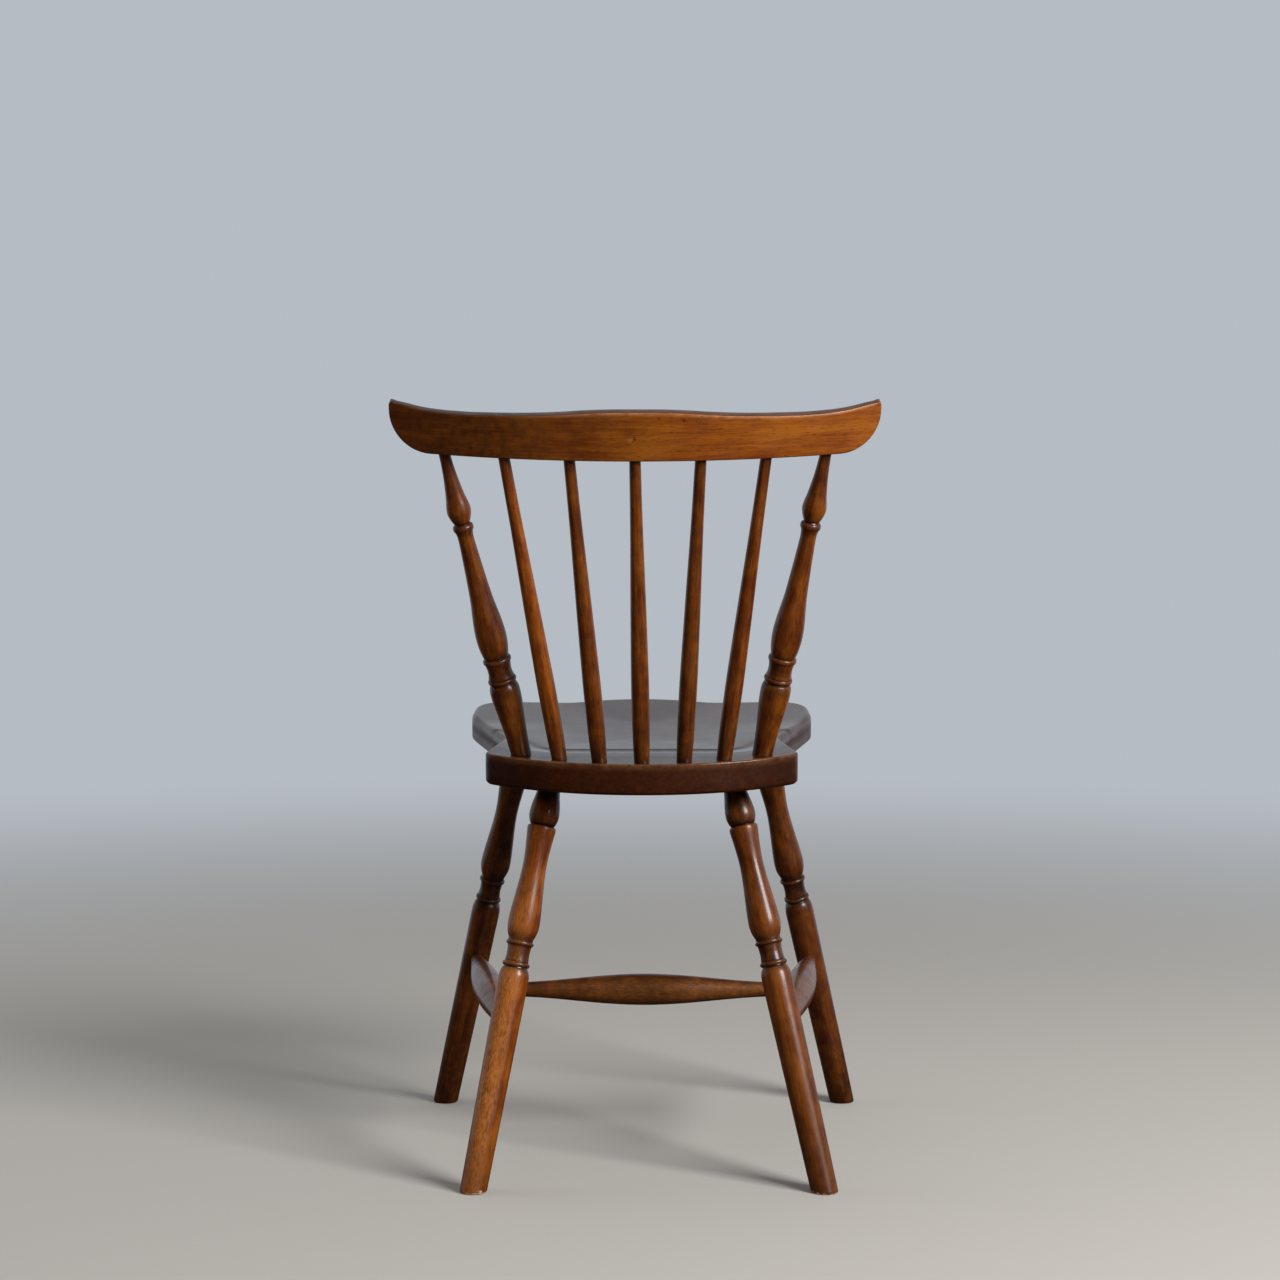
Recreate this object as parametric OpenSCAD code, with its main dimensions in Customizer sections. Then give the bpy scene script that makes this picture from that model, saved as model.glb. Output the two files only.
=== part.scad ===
// Spindle-back kitchen chair: a solid saddled seat on four turned legs that
// are braced by an H of swelled stretchers, with a back of two turned posts and
// five plain spindles under a curved crest rail. All joints are round tenons
// glued into blind bored sockets.
//
// Millimetres, +Z up. The chair faces -Y, so its back is at +Y and the
// sitter's left is at +X. The origin is on the floor, in the middle of the
// chair's box.

/* [Seat] */
// Height of the seat's top at the middle of its rear edge
seat_h = 440; // [400:1:470]
// Slope of the seat, falling towards the rear (degrees)
seat_slope = 4.8; // [2:0.1:6]
// Depth from the rear edge to the front edge
seat_d = 392; // [370:1:410]
// Greatest half width, across the front of the seat
seat_half_w = 190.5; // [180:0.5:200]
// Half width at the waist, in front of the spindles
waist_half_w = 150.5; // [145:0.5:156]
// Half width of the spindle deck, at its ears
deck_half_w = 160; // [158:0.5:164]
// Thickness of the seat blank
seat_t = 32.5; // [29:0.5:36]
// Radius of the rear edge, seen from above
rear_r = 243; // [230:1:280]
// Depth of the dish at its lowest point
dish_depth = 7.5; // [4:0.5:10]
// Distance from the rear edge to the gutter where the dish starts
gutter_d = 83; // [78:1:92]
// Width of the chamfer round the underside
under_chamfer_w = 6; // [2:0.5:8]
// Height of the chamfer round the underside
under_chamfer_h = 5; // [2:0.5:8]

/* [Crest rail] */
// Width of the rail over its ends
crest_w = 491.5; // [470:0.5:510]
// Height of the rail at its middle
crest_h = 48.5; // [44:0.5:56]
// Thickness of the rail
crest_t = 21; // [20:0.5:24]
// How far the top edge dips on each side of its middle
crest_wave = 7.2; // [0:0.2:10]
// Radius of the rail's curve, seen from above
crest_r = 632; // [560:1:720]
// Height of the rail's lower edge at its middle
crest_z = 750; // [740:1:760]
// Backward lean of the rail and the spindles (degrees)
back_lean = 13; // [12:0.1:14]
// Sideways set of the old back, towards the sitter's left
back_sway = 6.8; // [0:0.5:8]

/* [Spindles and posts] */
// Radius of the curve on which the spindles stand in the seat
spindle_row_r = 200; // [190:1:215]
// Distance from the seat's rear edge to the middle spindle
spindle_inset = 13.5; // [13:0.5:18]
// Angle between two spindle sockets round that curve
spindle_step = 12.5; // [12:0.1:13]
// Angle of each back post round that curve
post_angle = 38.6; // [38:0.1:40]
// Distance between two spindle tops along the rail
spindle_top_step = 65.2; // [60:0.2:66]
// Half distance between the tops of the two posts
post_top_half = 190.6; // [184:0.2:192]
// Diameter of a spindle where it enters the seat
spindle_base_d = 16; // [15:0.5:17]
// Diameter of a spindle or a post where it enters the rail
top_tenon_d = 11.6; // [10:0.2:12]
// Diameter of a post where it enters the seat
post_base_d = 21; // [20:0.5:22]

/* [Legs] */
// Half distance between the rear feet
rear_foot_half = 180.3; // [165:0.1:190]
// How far the rear feet are racked, towards the sitter's right
rear_foot_rack = 7.3; // [0:0.1:10]
// Rear feet: distance in front of the seat's rear edge
rear_foot_y = -3.5; // [-20:0.5:20]
// Front feet: distance in front of the seat's rear edge
front_foot_y = 404; // [390:1:415]
// Half distance between the front feet
front_foot_half = 231; // [215:1:235]
// How far the front feet are racked, towards the sitter's right
front_foot_rack = 2.5; // [0:0.5:5]
// Half distance between the rear legs at the underside of the seat
rear_top_half = 95; // [88:1:100]
// Rear legs: distance from the seat's rear edge at its underside
rear_top_d = 86; // [80:1:95]
// Half distance between the front legs at the underside of the seat
front_top_half = 134.5; // [125:0.5:140]
// Front legs: distance from the seat's rear edge at its underside
front_top_d = 326; // [315:1:335]
// Diameter of a leg's tenon in the seat
leg_tenon_d = 23; // [20:0.5:24]
// Diameter of a leg at the floor
foot_d = 27.6; // [26:0.2:29]

/* [Stretchers] */
// Height of the side stretchers' rear ends
side_rear_z = 166; // [160:1:176]
// Height of the side stretchers' front ends
side_front_z = 175; // [166:1:180]
// Diameter of a stretcher at its middle
stretcher_mid_d = 34; // [30:0.5:36]
// Diameter of a side stretcher's tenons
side_tenon_d = 14; // [12:0.5:15]
// Diameter of the cross stretcher's tenons
cross_tenon_d = 15.4; // [13:0.2:16]

/* [Fit] */
// Glue line between a tenon and its socket, on the radius
glue = 0.1; // [0.05:0.01:0.2]
// Depth of the sockets in the seat
seat_socket = 22; // [18:1:24]
// Depth of the sockets in the crest rail
crest_socket = 22; // [18:1:24]
// Distance that a stretcher tenon goes past the axis of what holds it
past_axis = 4; // [2:0.5:5]
// Empty space left at the bottom of a socket
socket_end_gap = 1; // [0.5:0.5:2]

/* [Hidden] */
$fn = 72;

OAK_BROWN = [0.42, 0.20, 0.07];
SEAT_BROWN = [0.30, 0.13, 0.06];
RAIL_BROWN = [0.48, 0.22, 0.06];

LEFT = 1;   // the sitter's left, +X
RIGHT = -1;

// The middle of the chair's box, from the middle of the seat's rear edge
box_middle = [2.45, -169.38, 0];

// ---- curves -----------------------------------------------------------------

// A point on the smooth curve through b and c, with neighbours a and d
function curve_point(a, b, c, d, t) =
    0.5 * (2 * b + (c - a) * t + (2 * a - 5 * b + 4 * c - d) * t * t
        + (3 * b - a - 3 * c + d) * t * t * t);

// A smooth curve through all the points of a run, with its ends kept
function smooth_run(p, steps = 5) = concat(
    [for (i = [0 : len(p) - 2], k = [0 : steps - 1])
        curve_point(p[max(i - 1, 0)], p[i], p[i + 1], p[min(i + 2, len(p) - 1)], k / steps)],
    [p[len(p) - 1]]);

// A half-round ring on a turning: its middle, its width and two diameters
function ring(at, width, base_d, top_d) =
    [for (a = [0 : 30 : 180]) [at - width / 2 * cos(a), base_d + (top_d - base_d) * sin(a)]];

// The corner where the line through a and b, moved in by d, meets that through b and c
function moved_corner(a, b, c, d) =
    let (u = (b - a) / norm(b - a), v = (c - b) / norm(c - b),
        p = b + d * [-u.y, u.x], q = b + d * [-v.y, v.x],
        turn = u.x * v.y - u.y * v.x,
        t = ((q.x - p.x) * v.y - (q.y - p.y) * v.x) / turn)
    p + t * u;

// Corners [x, y, radius] of an outline, anticlockwise, all moved inwards by d
function moved_in(c, d) = [for (i = [0 : len(c) - 1])
    let (a = c[(i + len(c) - 1) % len(c)], b = c[i], e = c[(i + 1) % len(c)],
        p = moved_corner([a.x, a.y], [b.x, b.y], [e.x, e.y], d),
        bulges = (b.x - a.x) * (e.y - b.y) - (b.y - a.y) * (e.x - b.x) > 0)
    [p.x, p.y, bulges ? max(b.z - d, 0.5) : b.z + d]];

// The outline itself: each corner is an arc of its own radius
function rounded(c, steps = 8) = [for (i = [0 : len(c) - 1])
    let (a = c[(i + len(c) - 1) % len(c)], b = c[i], e = c[(i + 1) % len(c)],
        p = [b.x, b.y],
        u = ([a.x, a.y] - p) / norm([a.x, a.y] - p),
        v = ([e.x, e.y] - p) / norm([e.x, e.y] - p),
        half = acos(u * v) / 2,
        middle = p + (u + v) / norm(u + v) * b.z / sin(half),
        from = p + u * b.z / tan(half) - middle,
        to = p + v * b.z / tan(half) - middle,
        start = atan2(from.y, from.x),
        turn = atan2(from.x * to.y - from.y * to.x, from * to))
    for (k = [0 : steps]) middle + b.z * [cos(start + turn * k / steps), sin(start + turn * k / steps)]];

// ---- placing ----------------------------------------------------------------

// Stands a turning, drawn along +Z from 0, on the line from one point to another
module along(from, to) {
    v = to - from;
    translate(from)
        rotate([0, acos(v.z / norm(v)), atan2(v.y, v.x)])
            children();
}

// A turned solid from [distance, diameter] pairs
module turned(profile) {
    rotate_extrude()
        polygon(concat([[0, profile[0].x]],
            [for (p = profile) [p.y / 2, p.x]],
            [[0, profile[len(profile) - 1].x]]));
}

// A plain round bore or tenon along a line, between two distances
module round_bar(from, to, start, end, d) {
    along(from, to)
        translate([0, 0, start])
            cylinder(h = end - start, d = d);
}

// ---- the seat's own frame: x across, y forwards from its rear edge, z up ----

function on_seat(x, forwards, up) =
    [x, -forwards * cos(seat_slope) + up * sin(seat_slope),
        seat_h + forwards * sin(seat_slope) + up * cos(seat_slope)];

module seat_frame() {
    translate([0, 0, seat_h])
        rotate([-seat_slope, 0, 0])
            mirror([0, 1, 0])
                children();
}

// ---- where the sticks meet the seat, the rail and the floor -----------------

function row_point(a) =
    on_seat(spindle_row_r * sin(a), spindle_inset + spindle_row_r * (1 - cos(a)), 0);

// Depth of the rail's curve at a distance x from its middle
function crest_sag(x) = crest_r - sqrt(crest_r * crest_r - x * x);

// The foot of the rail's middle surface at x
function crest_foot(x) =
    [x + back_sway,
        row_point(0).y + (crest_z - seat_h) * tan(back_lean) - crest_sag(x) * cos(back_lean),
        crest_z + crest_sag(x) * sin(back_lean)];

function spindle_base(i) = row_point(i * spindle_step);
function spindle_top(i) = crest_foot(i * spindle_top_step);
function post_base(side) = row_point(side * post_angle);
function post_top(side) = crest_foot(side * post_top_half);

function rear_top(side) = on_seat(side * rear_top_half, rear_top_d, -seat_t);
function front_top(side) = on_seat(side * front_top_half, front_top_d, -seat_t);
function rear_foot(side) = [side * rear_foot_half - rear_foot_rack, -rear_foot_y, 0];
function front_foot(side) = [side * front_foot_half - front_foot_rack, -front_foot_y, 0];

// The point of a leg's axis at a height
function leg_at(top, foot, z) = foot + (top - foot) * z / top.z;

function side_rear(side) = leg_at(rear_top(side), rear_foot(side), side_rear_z);
function side_front(side) = leg_at(front_top(side), front_foot(side), side_front_z);
function side_middle(side) = (side_rear(side) + side_front(side)) / 2;

// ---- turnings ---------------------------------------------------------------

// Distances run down the leg from the underside of the seat
function leg_profile(length) = concat(
    [[-seat_socket, leg_tenon_d]],
    smooth_run([[5.5, leg_tenon_d], [15, 24.6], [28, 29.6], [38, 31.6], [45, 29], [49.5, 24.6]]),
    smooth_run([[50.6, 28.6], [52.5, 30], [56, 29.8], [66, 27.8], [80, 25.6], [93, 25],
        [108, 26.6], [126, 29.8], [142, 32.6], [154, 33.4], [162, 31], [168.6, 26]]),
    ring(173.6, 4.4, 25.8, 28.8),
    smooth_run([[176.2, 25.2], [181, 24], [186, 23.7], [192.6, 25]]),
    ring(195.8, 4.8, 25.2, 28.6),
    smooth_run([[199.4, 25.6], [202, 28.6], [207, 31.2], [214, 32]]),
    [[length, foot_d], [length + foot_d / 2, foot_d]]);

// Distances run up the post from the top of the seat
function post_profile(length) = concat(
    [[-seat_socket, post_base_d], [4, post_base_d]],
    smooth_run([[5, post_base_d], [30, 24.4], [58, 28.6], [72, 29.6], [77.4, 27.8], [80, 26]]),
    ring(84.2, 4.6, 25.6, 28.8),
    smooth_run([[87.4, 25.4], [92, 22], [97, 21.8], [103, 24.6]]),
    ring(106.4, 5.4, 24.4, 28.4),
    smooth_run([[110.4, 23.2], [114, 25.6], [122, 29], [134, 31], [147, 30], [160, 27],
        [176, 23.2], [197, 20.4], [219, 18], [236, 16.4], [243.5, 16.6], [247, 18]]),
    ring(251.4, 7, 17.8, 21),
    smooth_run([[256.2, 15.6], [260, 19.6], [268, 24.4], [275, 23.6], [284, 20], [295, 16.8],
        [308, 13.8], [320, 12.2], [length - 2, top_tenon_d]]),
    [[length + crest_socket, top_tenon_d]]);

// Distances run up the spindle from the top of the seat
function spindle_profile(length) = concat(
    [[-seat_socket, spindle_base_d], [3, spindle_base_d]],
    smooth_run([[3.5, spindle_base_d], [30, 17.6], [75, 18.4], [115, 17.6], [165, 16], [210, 14.3],
        [255, 12.7], [length - 2, top_tenon_d]]),
    [[length + crest_socket, top_tenon_d]]);

// A stretcher swells from its tenons to its middle; fullness 1 is a plain bow
function swelled_profile(length, hold, tenon_d, fullness, steps = 28) = concat(
    [[-past_axis, tenon_d]],
    [for (k = [0 : steps]) [hold + (length - 2 * hold) * k / steps,
        tenon_d + (stretcher_mid_d - tenon_d) * pow(sin(180 * k / steps), fullness)]],
    [[length + past_axis, tenon_d]]);

// ---- the seat ---------------------------------------------------------------

seat_half_corners = [
    [86.6, 0, rear_r],
    [deck_half_w + 4, 60, 18],
    [waist_half_w - 4, 150, 44],
    [seat_half_w + 0.6, 305, 110],
    [seat_half_w - 3, seat_d - 5, 42],
    [40, seat_d, 600]];

function mirrored(c) = [for (i = [len(c) - 1 : -1 : 0]) [-c[i].x, c[i].y, c[i].z]];
seat_corners = concat(seat_half_corners, mirrored(seat_half_corners));

// Each ring of the seat's edge: height above the underside, and how far in it is
seat_rings = [[0, under_chamfer_w], [under_chamfer_h, 0], [seat_t - 2.4, 0], [seat_t - 0.8, 0.7], [seat_t, 2.6]];

module seat_blank() {
    loops = [for (r = seat_rings) [for (p = rounded(moved_in(seat_corners, r.y))) [p.x, p.y, r.x - seat_t]]];
    n = len(loops[0]);
    top = len(loops) - 1;
    polyhedron(
        points = [for (l = loops, p = l) p],
        faces = concat(
            [[for (k = [0 : n - 1]) k]],
            [for (l = [0 : top - 1], k = [0 : n - 1])
                [l * n + k, (l + 1) * n + k, (l + 1) * n + (k + 1) % n, l * n + (k + 1) % n]],
            [[for (k = [n - 1 : -1 : 0]) top * n + k]]));
}

// The hollowed part lies in front of the gutter and runs out over the front edge
module dish() {
    hollow_r = 267;
    pommel_r = 700;
    pommel_rise = 3.7;
    gutter_corners = [[122, gutter_d, 60], [166, 174, 1], [240, 174, 1], [240, 440, 1]];
    difference() {
        intersection() {
            translate([0, 235, -dish_depth])
                rotate_extrude()
                    polygon(concat([[0, 30], [0, 0]],
                        [for (k = [1 : 10]) [hollow_r * k / 9, dish_depth * pow(k / 9, 2)]],
                        [[hollow_r * 10 / 9, 30]]));
            translate([0, 0, -20])
                linear_extrude(40)
                    polygon(rounded(concat(gutter_corners, mirrored(gutter_corners))));
        }
        translate([0, seat_d, 0])
            rotate([pommel_rise, 0, 0])
                translate([0, 0, -pommel_r])
                    rotate([90, 0, 0])
                        cylinder(r = pommel_r, h = 600, center = true, $fn = 720);
    }
}

module seat() {
    color(SEAT_BROWN)
    translate(-box_middle)
    difference() {
        seat_frame() {
            difference() {
                seat_blank();
                dish();
            }
        }
        for (i = [-2 : 2])
            round_bar(spindle_base(i), spindle_top(i), -seat_socket - socket_end_gap, 30,
                spindle_base_d + 2 * glue);
        for (side = [LEFT, RIGHT]) {
            round_bar(post_base(side), post_top(side), -seat_socket - socket_end_gap, 30,
                post_base_d + 2 * glue);
            round_bar(rear_top(side), rear_foot(side), -seat_socket - socket_end_gap, 30,
                leg_tenon_d + 2 * glue);
            round_bar(front_top(side), front_foot(side), -seat_socket - socket_end_gap, 30,
                leg_tenon_d + 2 * glue);
        }
    }
}

// ---- the crest rail, in its own frame: x along, y forwards, z up its face ---

// Height of the top edge at x
// It dips on each side and rises again to the tips
crest_top_run = smooth_run([for (p = [[0, 0], [25, 0.02], [50, 0.18], [75, 0.46], [100, 0.69], [125, 0.84],
        [145, 0.93], [165, 1], [185, 0.97], [200, 0.86], [215, 0.64], [230, 0.26], [246, -0.08]])
    [p.x * crest_w / 492, crest_h - crest_wave * p.y]], 3);

crest_end_r = 44;
crest_tip_r = 2.5;

function crest_outline() =
    let (half = crest_w / 2, edge = [for (p = crest_top_run) if (p.x < half - crest_tip_r) p],
        tip = crest_top_run[len(crest_top_run) - 1].y)
    concat(
        [for (a = [270 : 7.5 : 360])
            [half - crest_end_r + crest_end_r * cos(a), crest_end_r + crest_end_r * sin(a)]],
        [for (a = [30 : 30 : 90])
            [half - crest_tip_r + crest_tip_r * cos(a), tip - crest_tip_r + crest_tip_r * sin(a)]],
        [for (k = [len(edge) - 1 : -1 : 0]) edge[k]],
        [for (k = [1 : len(edge) - 1]) [-edge[k].x, edge[k].y]],
        [for (a = [90 : 30 : 150])
            [-half + crest_tip_r + crest_tip_r * cos(a), tip - crest_tip_r + crest_tip_r * sin(a)]],
        [for (a = [180 : 7.5 : 270])
            [-half + crest_end_r + crest_end_r * cos(a), crest_end_r + crest_end_r * sin(a)]]);

module crest_blank() {
    translate(crest_foot(0))
        rotate([-back_lean, 0, 0])
            intersection() {
                translate([0, -crest_r, -1])
                    difference() {
                        cylinder(r = crest_r + crest_t / 2, h = crest_h + 10, $fn = 360);
                        translate([0, 0, -1])
                            cylinder(r = crest_r - crest_t / 2, h = crest_h + 12, $fn = 360);
                    }
                translate([0, crest_t, 0])
                    rotate([90, 0, 0])
                        linear_extrude(120)
                            polygon(crest_outline());
            }
}

module crest_rail() {
    color(RAIL_BROWN)
    translate(-box_middle)
    difference() {
        crest_blank();
        for (i = [-2 : 2])
            round_bar(spindle_top(i), spindle_base(i), -crest_socket - socket_end_gap, 20,
                top_tenon_d + 2 * glue);
        for (side = [LEFT, RIGHT])
            round_bar(post_top(side), post_base(side), -crest_socket - socket_end_gap, 20,
                top_tenon_d + 2 * glue);
    }
}

// ---- posts and spindles -----------------------------------------------------

module back_post(side) {
    color(OAK_BROWN)
    translate(-box_middle)
    along(post_base(side), post_top(side))
        turned(post_profile(norm(post_top(side) - post_base(side))));
}

module back_spindle(i) {
    color(OAK_BROWN)
    translate(-box_middle)
    along(spindle_base(i), spindle_top(i))
        turned(spindle_profile(norm(spindle_top(i) - spindle_base(i))));
}

// ---- legs and stretchers ----------------------------------------------------

module leg(top, foot, socket_at, socket_to) {
    seam = 170; // the turning's start line lies on the outer side
    floor_size = 1200;
    color(OAK_BROWN)
    translate(-box_middle)
    difference() {
        along(top, foot)
            rotate(seam)
                turned(leg_profile(norm(foot - top)));
        round_bar(socket_at, socket_to, -past_axis - socket_end_gap, 30, side_tenon_d + 2 * glue);
        translate([-floor_size / 2, -floor_size / 2, -100])
            cube([floor_size, floor_size, 100]);
    }
}

module rear_leg(side) {
    leg(rear_top(side), rear_foot(side), side_rear(side), side_front(side));
}

module front_leg(side) {
    leg(front_top(side), front_foot(side), side_front(side), side_rear(side));
}

module side_stretcher(side) {
    hold = 18;
    color(OAK_BROWN)
    translate(-box_middle)
    difference() {
        along(side_rear(side), side_front(side))
            turned(swelled_profile(norm(side_front(side) - side_rear(side)), hold, side_tenon_d, 1.2));
        round_bar(side_middle(side), side_middle(-side), -past_axis - socket_end_gap, 30,
            cross_tenon_d + 2 * glue);
    }
}

module cross_stretcher() {
    hold = 18.5;
    color(OAK_BROWN)
    translate(-box_middle)
    along(side_middle(LEFT), side_middle(RIGHT))
        turned(swelled_profile(norm(side_middle(RIGHT) - side_middle(LEFT)), hold, cross_tenon_d, 2));
}

// ---- parts ------------------------------------------------------------------

seat();
crest_rail();
back_post(LEFT);  // back_post_left
back_post(RIGHT);  // back_post_right
back_spindle(2);  // spindle_1
back_spindle(1);  // spindle_2
back_spindle(0);  // spindle_3
back_spindle(-1);  // spindle_4
back_spindle(-2);  // spindle_5
front_leg(LEFT);  // leg_front_left
front_leg(RIGHT);  // leg_front_right
rear_leg(LEFT);  // leg_rear_left
rear_leg(RIGHT);  // leg_rear_right
side_stretcher(LEFT);  // side_stretcher_left
side_stretcher(RIGHT);  // side_stretcher_right
cross_stretcher();
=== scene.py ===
"""Looks for an old spindle-back kitchen chair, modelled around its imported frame.

All lengths are metres, +Z is up, the chair faces -Y and the sitter's left is
at +X. The seat and the crest rail are shaped slabs, and every leg, post,
spindle and stretcher is a spun turning. Each piece stands for one node of the
frame and rides on its body.
"""

from __future__ import annotations

import logging
import math
from dataclasses import dataclass, field, replace
from enum import Enum
from typing import Callable, Sequence

import bmesh
import bpy
import numpy as np
from mathutils import Matrix, Vector

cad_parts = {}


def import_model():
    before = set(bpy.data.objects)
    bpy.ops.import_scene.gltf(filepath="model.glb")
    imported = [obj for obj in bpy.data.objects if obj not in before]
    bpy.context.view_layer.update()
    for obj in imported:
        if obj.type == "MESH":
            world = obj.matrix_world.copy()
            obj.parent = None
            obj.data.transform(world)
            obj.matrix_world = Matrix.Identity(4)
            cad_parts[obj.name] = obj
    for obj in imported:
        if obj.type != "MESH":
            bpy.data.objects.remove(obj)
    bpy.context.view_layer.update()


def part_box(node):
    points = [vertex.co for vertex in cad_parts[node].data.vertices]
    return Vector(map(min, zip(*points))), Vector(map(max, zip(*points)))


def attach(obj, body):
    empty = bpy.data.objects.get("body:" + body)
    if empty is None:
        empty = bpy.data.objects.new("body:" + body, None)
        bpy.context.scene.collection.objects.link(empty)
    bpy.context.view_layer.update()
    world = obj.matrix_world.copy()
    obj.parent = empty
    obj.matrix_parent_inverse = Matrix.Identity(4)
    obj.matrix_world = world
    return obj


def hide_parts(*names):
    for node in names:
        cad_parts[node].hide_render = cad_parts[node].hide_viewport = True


log = logging.getLogger("chair")

MM = 0.001
BODY = "root"
SPIN_STEPS = 64  # faces round a turned stick
BEAD_STEPS = 14  # short lines over a turned ring

Pair = tuple[float, float]
Colour = tuple[float, float, float, float]


class Side(Enum):
    """The sitter's two sides, as the sign of X."""

    LEFT = 1
    RIGHT = -1


class Slot(Enum):
    """The names of three material slots."""

    SEAT = "seat_wood"
    RAIL = "rail_wood"
    TURNED = "turned_wood"


def stain(red: int, green: int, blue: int) -> Colour:
    """Turns a colour as a painter would name it, 0 to 255, into linear light.

    Args:
        red: Red, 0 to 255.
        green: Green, 0 to 255.
        blue: Blue, 0 to 255.

    Returns:
        The colour in linear light, with an alpha of 1.
    """
    linear = []
    for value in (red, green, blue):
        part = value / 255
        linear.append(part / 12.92 if part <= 0.04045 else ((part + 0.055) / 1.055) ** 2.4)
    return (linear[0], linear[1], linear[2], 1.0)


def smooth_run(points: Sequence[Pair], steps: int = 8) -> list[Pair]:
    """Draws a smooth curve through points, which keeps both ends.

    Args:
        points: The points that the curve goes through.
        steps: How many short lines lie between two of them.

    Returns:
        The points of the curve.
    """
    run: list[Pair] = []
    last = len(points) - 1
    for i in range(last):
        a, b = points[max(i - 1, 0)], points[i]
        c, d = points[i + 1], points[min(i + 2, last)]
        for k in range(steps):
            t = k / steps
            run.append(tuple(
                0.5 * (2 * q + (r - p) * t + (2 * p - 5 * q + 4 * r - s) * t * t
                       + (3 * q - p - 3 * r + s) * t * t * t)
                for p, q, r, s in zip(a, b, c, d)))
    run.append(tuple(points[last]))
    return run


def bead(at: float, width: float, base: float, top: float) -> list[Pair]:
    """Draws a half-round ring on a turning.

    Args:
        at: Where its middle is along the stick.
        width: Its width along the stick.
        base: The diameter at its foot.
        top: The diameter at its crown.

    Returns:
        Pairs of a distance along the stick and a diameter.
    """
    pairs = []
    for k in range(BEAD_STEPS + 1):
        angle = math.pi * k / BEAD_STEPS
        pairs.append((at - width / 2 * math.cos(angle), base + (top - base) * math.sin(angle)))
    return pairs


def rounded(corners: Sequence[tuple[float, float, float]], steps: int) -> list[Pair]:
    """Draws a closed outline whose corners are arcs.

    Args:
        corners: Each corner's x, y and radius, anticlockwise.
        steps: How many short lines each arc has.

    Returns:
        The outline's points.
    """
    outline: list[Pair] = []
    count = len(corners)
    for i in range(count):
        here = Vector(corners[i][:2])
        back = (Vector(corners[i - 1][:2]) - here).normalized()
        ahead = (Vector(corners[(i + 1) % count][:2]) - here).normalized()
        radius = corners[i][2]
        half = math.acos(max(-1.0, min(1.0, back.dot(ahead)))) / 2
        middle = here + (back + ahead).normalized() * radius / math.sin(half)
        first = here + back * radius / math.tan(half) - middle
        last = here + ahead * radius / math.tan(half) - middle
        start = math.atan2(first.y, first.x)
        turn = math.atan2(first.x * last.y - first.y * last.x, first.dot(last))
        for k in range(steps + 1):
            angle = start + turn * k / steps
            outline.append((middle.x + radius * math.cos(angle), middle.y + radius * math.sin(angle)))
    return outline


def arc(middle: Pair, radius: float, angles: Sequence[float]) -> list[Pair]:
    """Draws an arc round a middle, at the angles given in radians."""
    return [(middle[0] + radius * math.cos(a), middle[1] + radius * math.sin(a)) for a in angles]


def by_stops(values: np.ndarray, *stops: Pair) -> np.ndarray:
    """Reads a line drawn through pairs of a place and the number there."""
    return np.interp(values, [stop[0] for stop in stops], [stop[1] for stop in stops])


def lengths(points: np.ndarray) -> np.ndarray:
    """Measures how far along a line of points each of them lies."""
    return np.r_[0, np.cumsum(np.linalg.norm(np.diff(points, axis=0), axis=1))]


def picked(points: np.ndarray, at: np.ndarray, places: np.ndarray | None = None) -> np.ndarray:
    """Reads a line of points at places between them.

    Args:
        points: The line's points, as rows of x and y.
        at: The places to read.
        places: The place of each point, or None for 0, 1, 2 and so on.

    Returns:
        A row of x and y for each place.
    """
    places = np.arange(len(points)) if places is None else places
    return np.c_[np.interp(at, places, points[:, 0]), np.interp(at, places, points[:, 1])]


def evenly(points: np.ndarray, count: int) -> np.ndarray:
    """Draws a line of points again, with a number of points at even distances."""
    steps = lengths(points)
    keep = np.r_[True, np.diff(steps) > 1e-6]
    return picked(points[keep], np.linspace(0, steps[-1], count), steps[keep])


def outward(points: np.ndarray) -> np.ndarray:
    """Gives the outward direction at each point of a half outline.

    Args:
        points: The outline's points, from the rear or the foot to the front or the head.

    Returns:
        A row of x and y for each point, one unit long.
    """
    ahead = np.gradient(points, axis=0)
    ahead[0], ahead[-1] = (1, 0), (-1, 0)
    ahead /= np.linalg.norm(ahead, axis=1)[:, None]
    return np.c_[ahead[:, 1], -ahead[:, 0]]


@dataclass(frozen=True)
class Patch:
    """A face's right-hand half, laid between four border lines.

    The low and the high border run outwards from the middle, and the middle
    and the side border run from the low one to the high one.
    """

    low: np.ndarray
    high: np.ndarray
    middle: np.ndarray
    side: np.ndarray

    def column(self, number: int) -> np.ndarray:
        """Lays one column of points.

        Args:
            number: The column's number, counted from the middle.

        Returns:
            Its points, from the low border to the high one.
        """
        w = number / (len(self.low) - 1)
        v = np.linspace(0, 1, len(self.side))[:, None]
        low, high = self.low, self.high
        return ((1 - v) * low[number] + v * high[number] + (1 - w) * self.middle + w * self.side
                - ((1 - w) * (1 - v) * low[0] + (1 - w) * v * high[0]
                   + w * (1 - v) * low[-1] + w * v * high[-1]))


def both_halves(grid: np.ndarray) -> np.ndarray:
    """Adds the left-hand half to the columns of a face's right-hand half."""
    return np.concatenate([grid[:, :0:-1] * (-1, 1), grid], axis=1)


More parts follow.
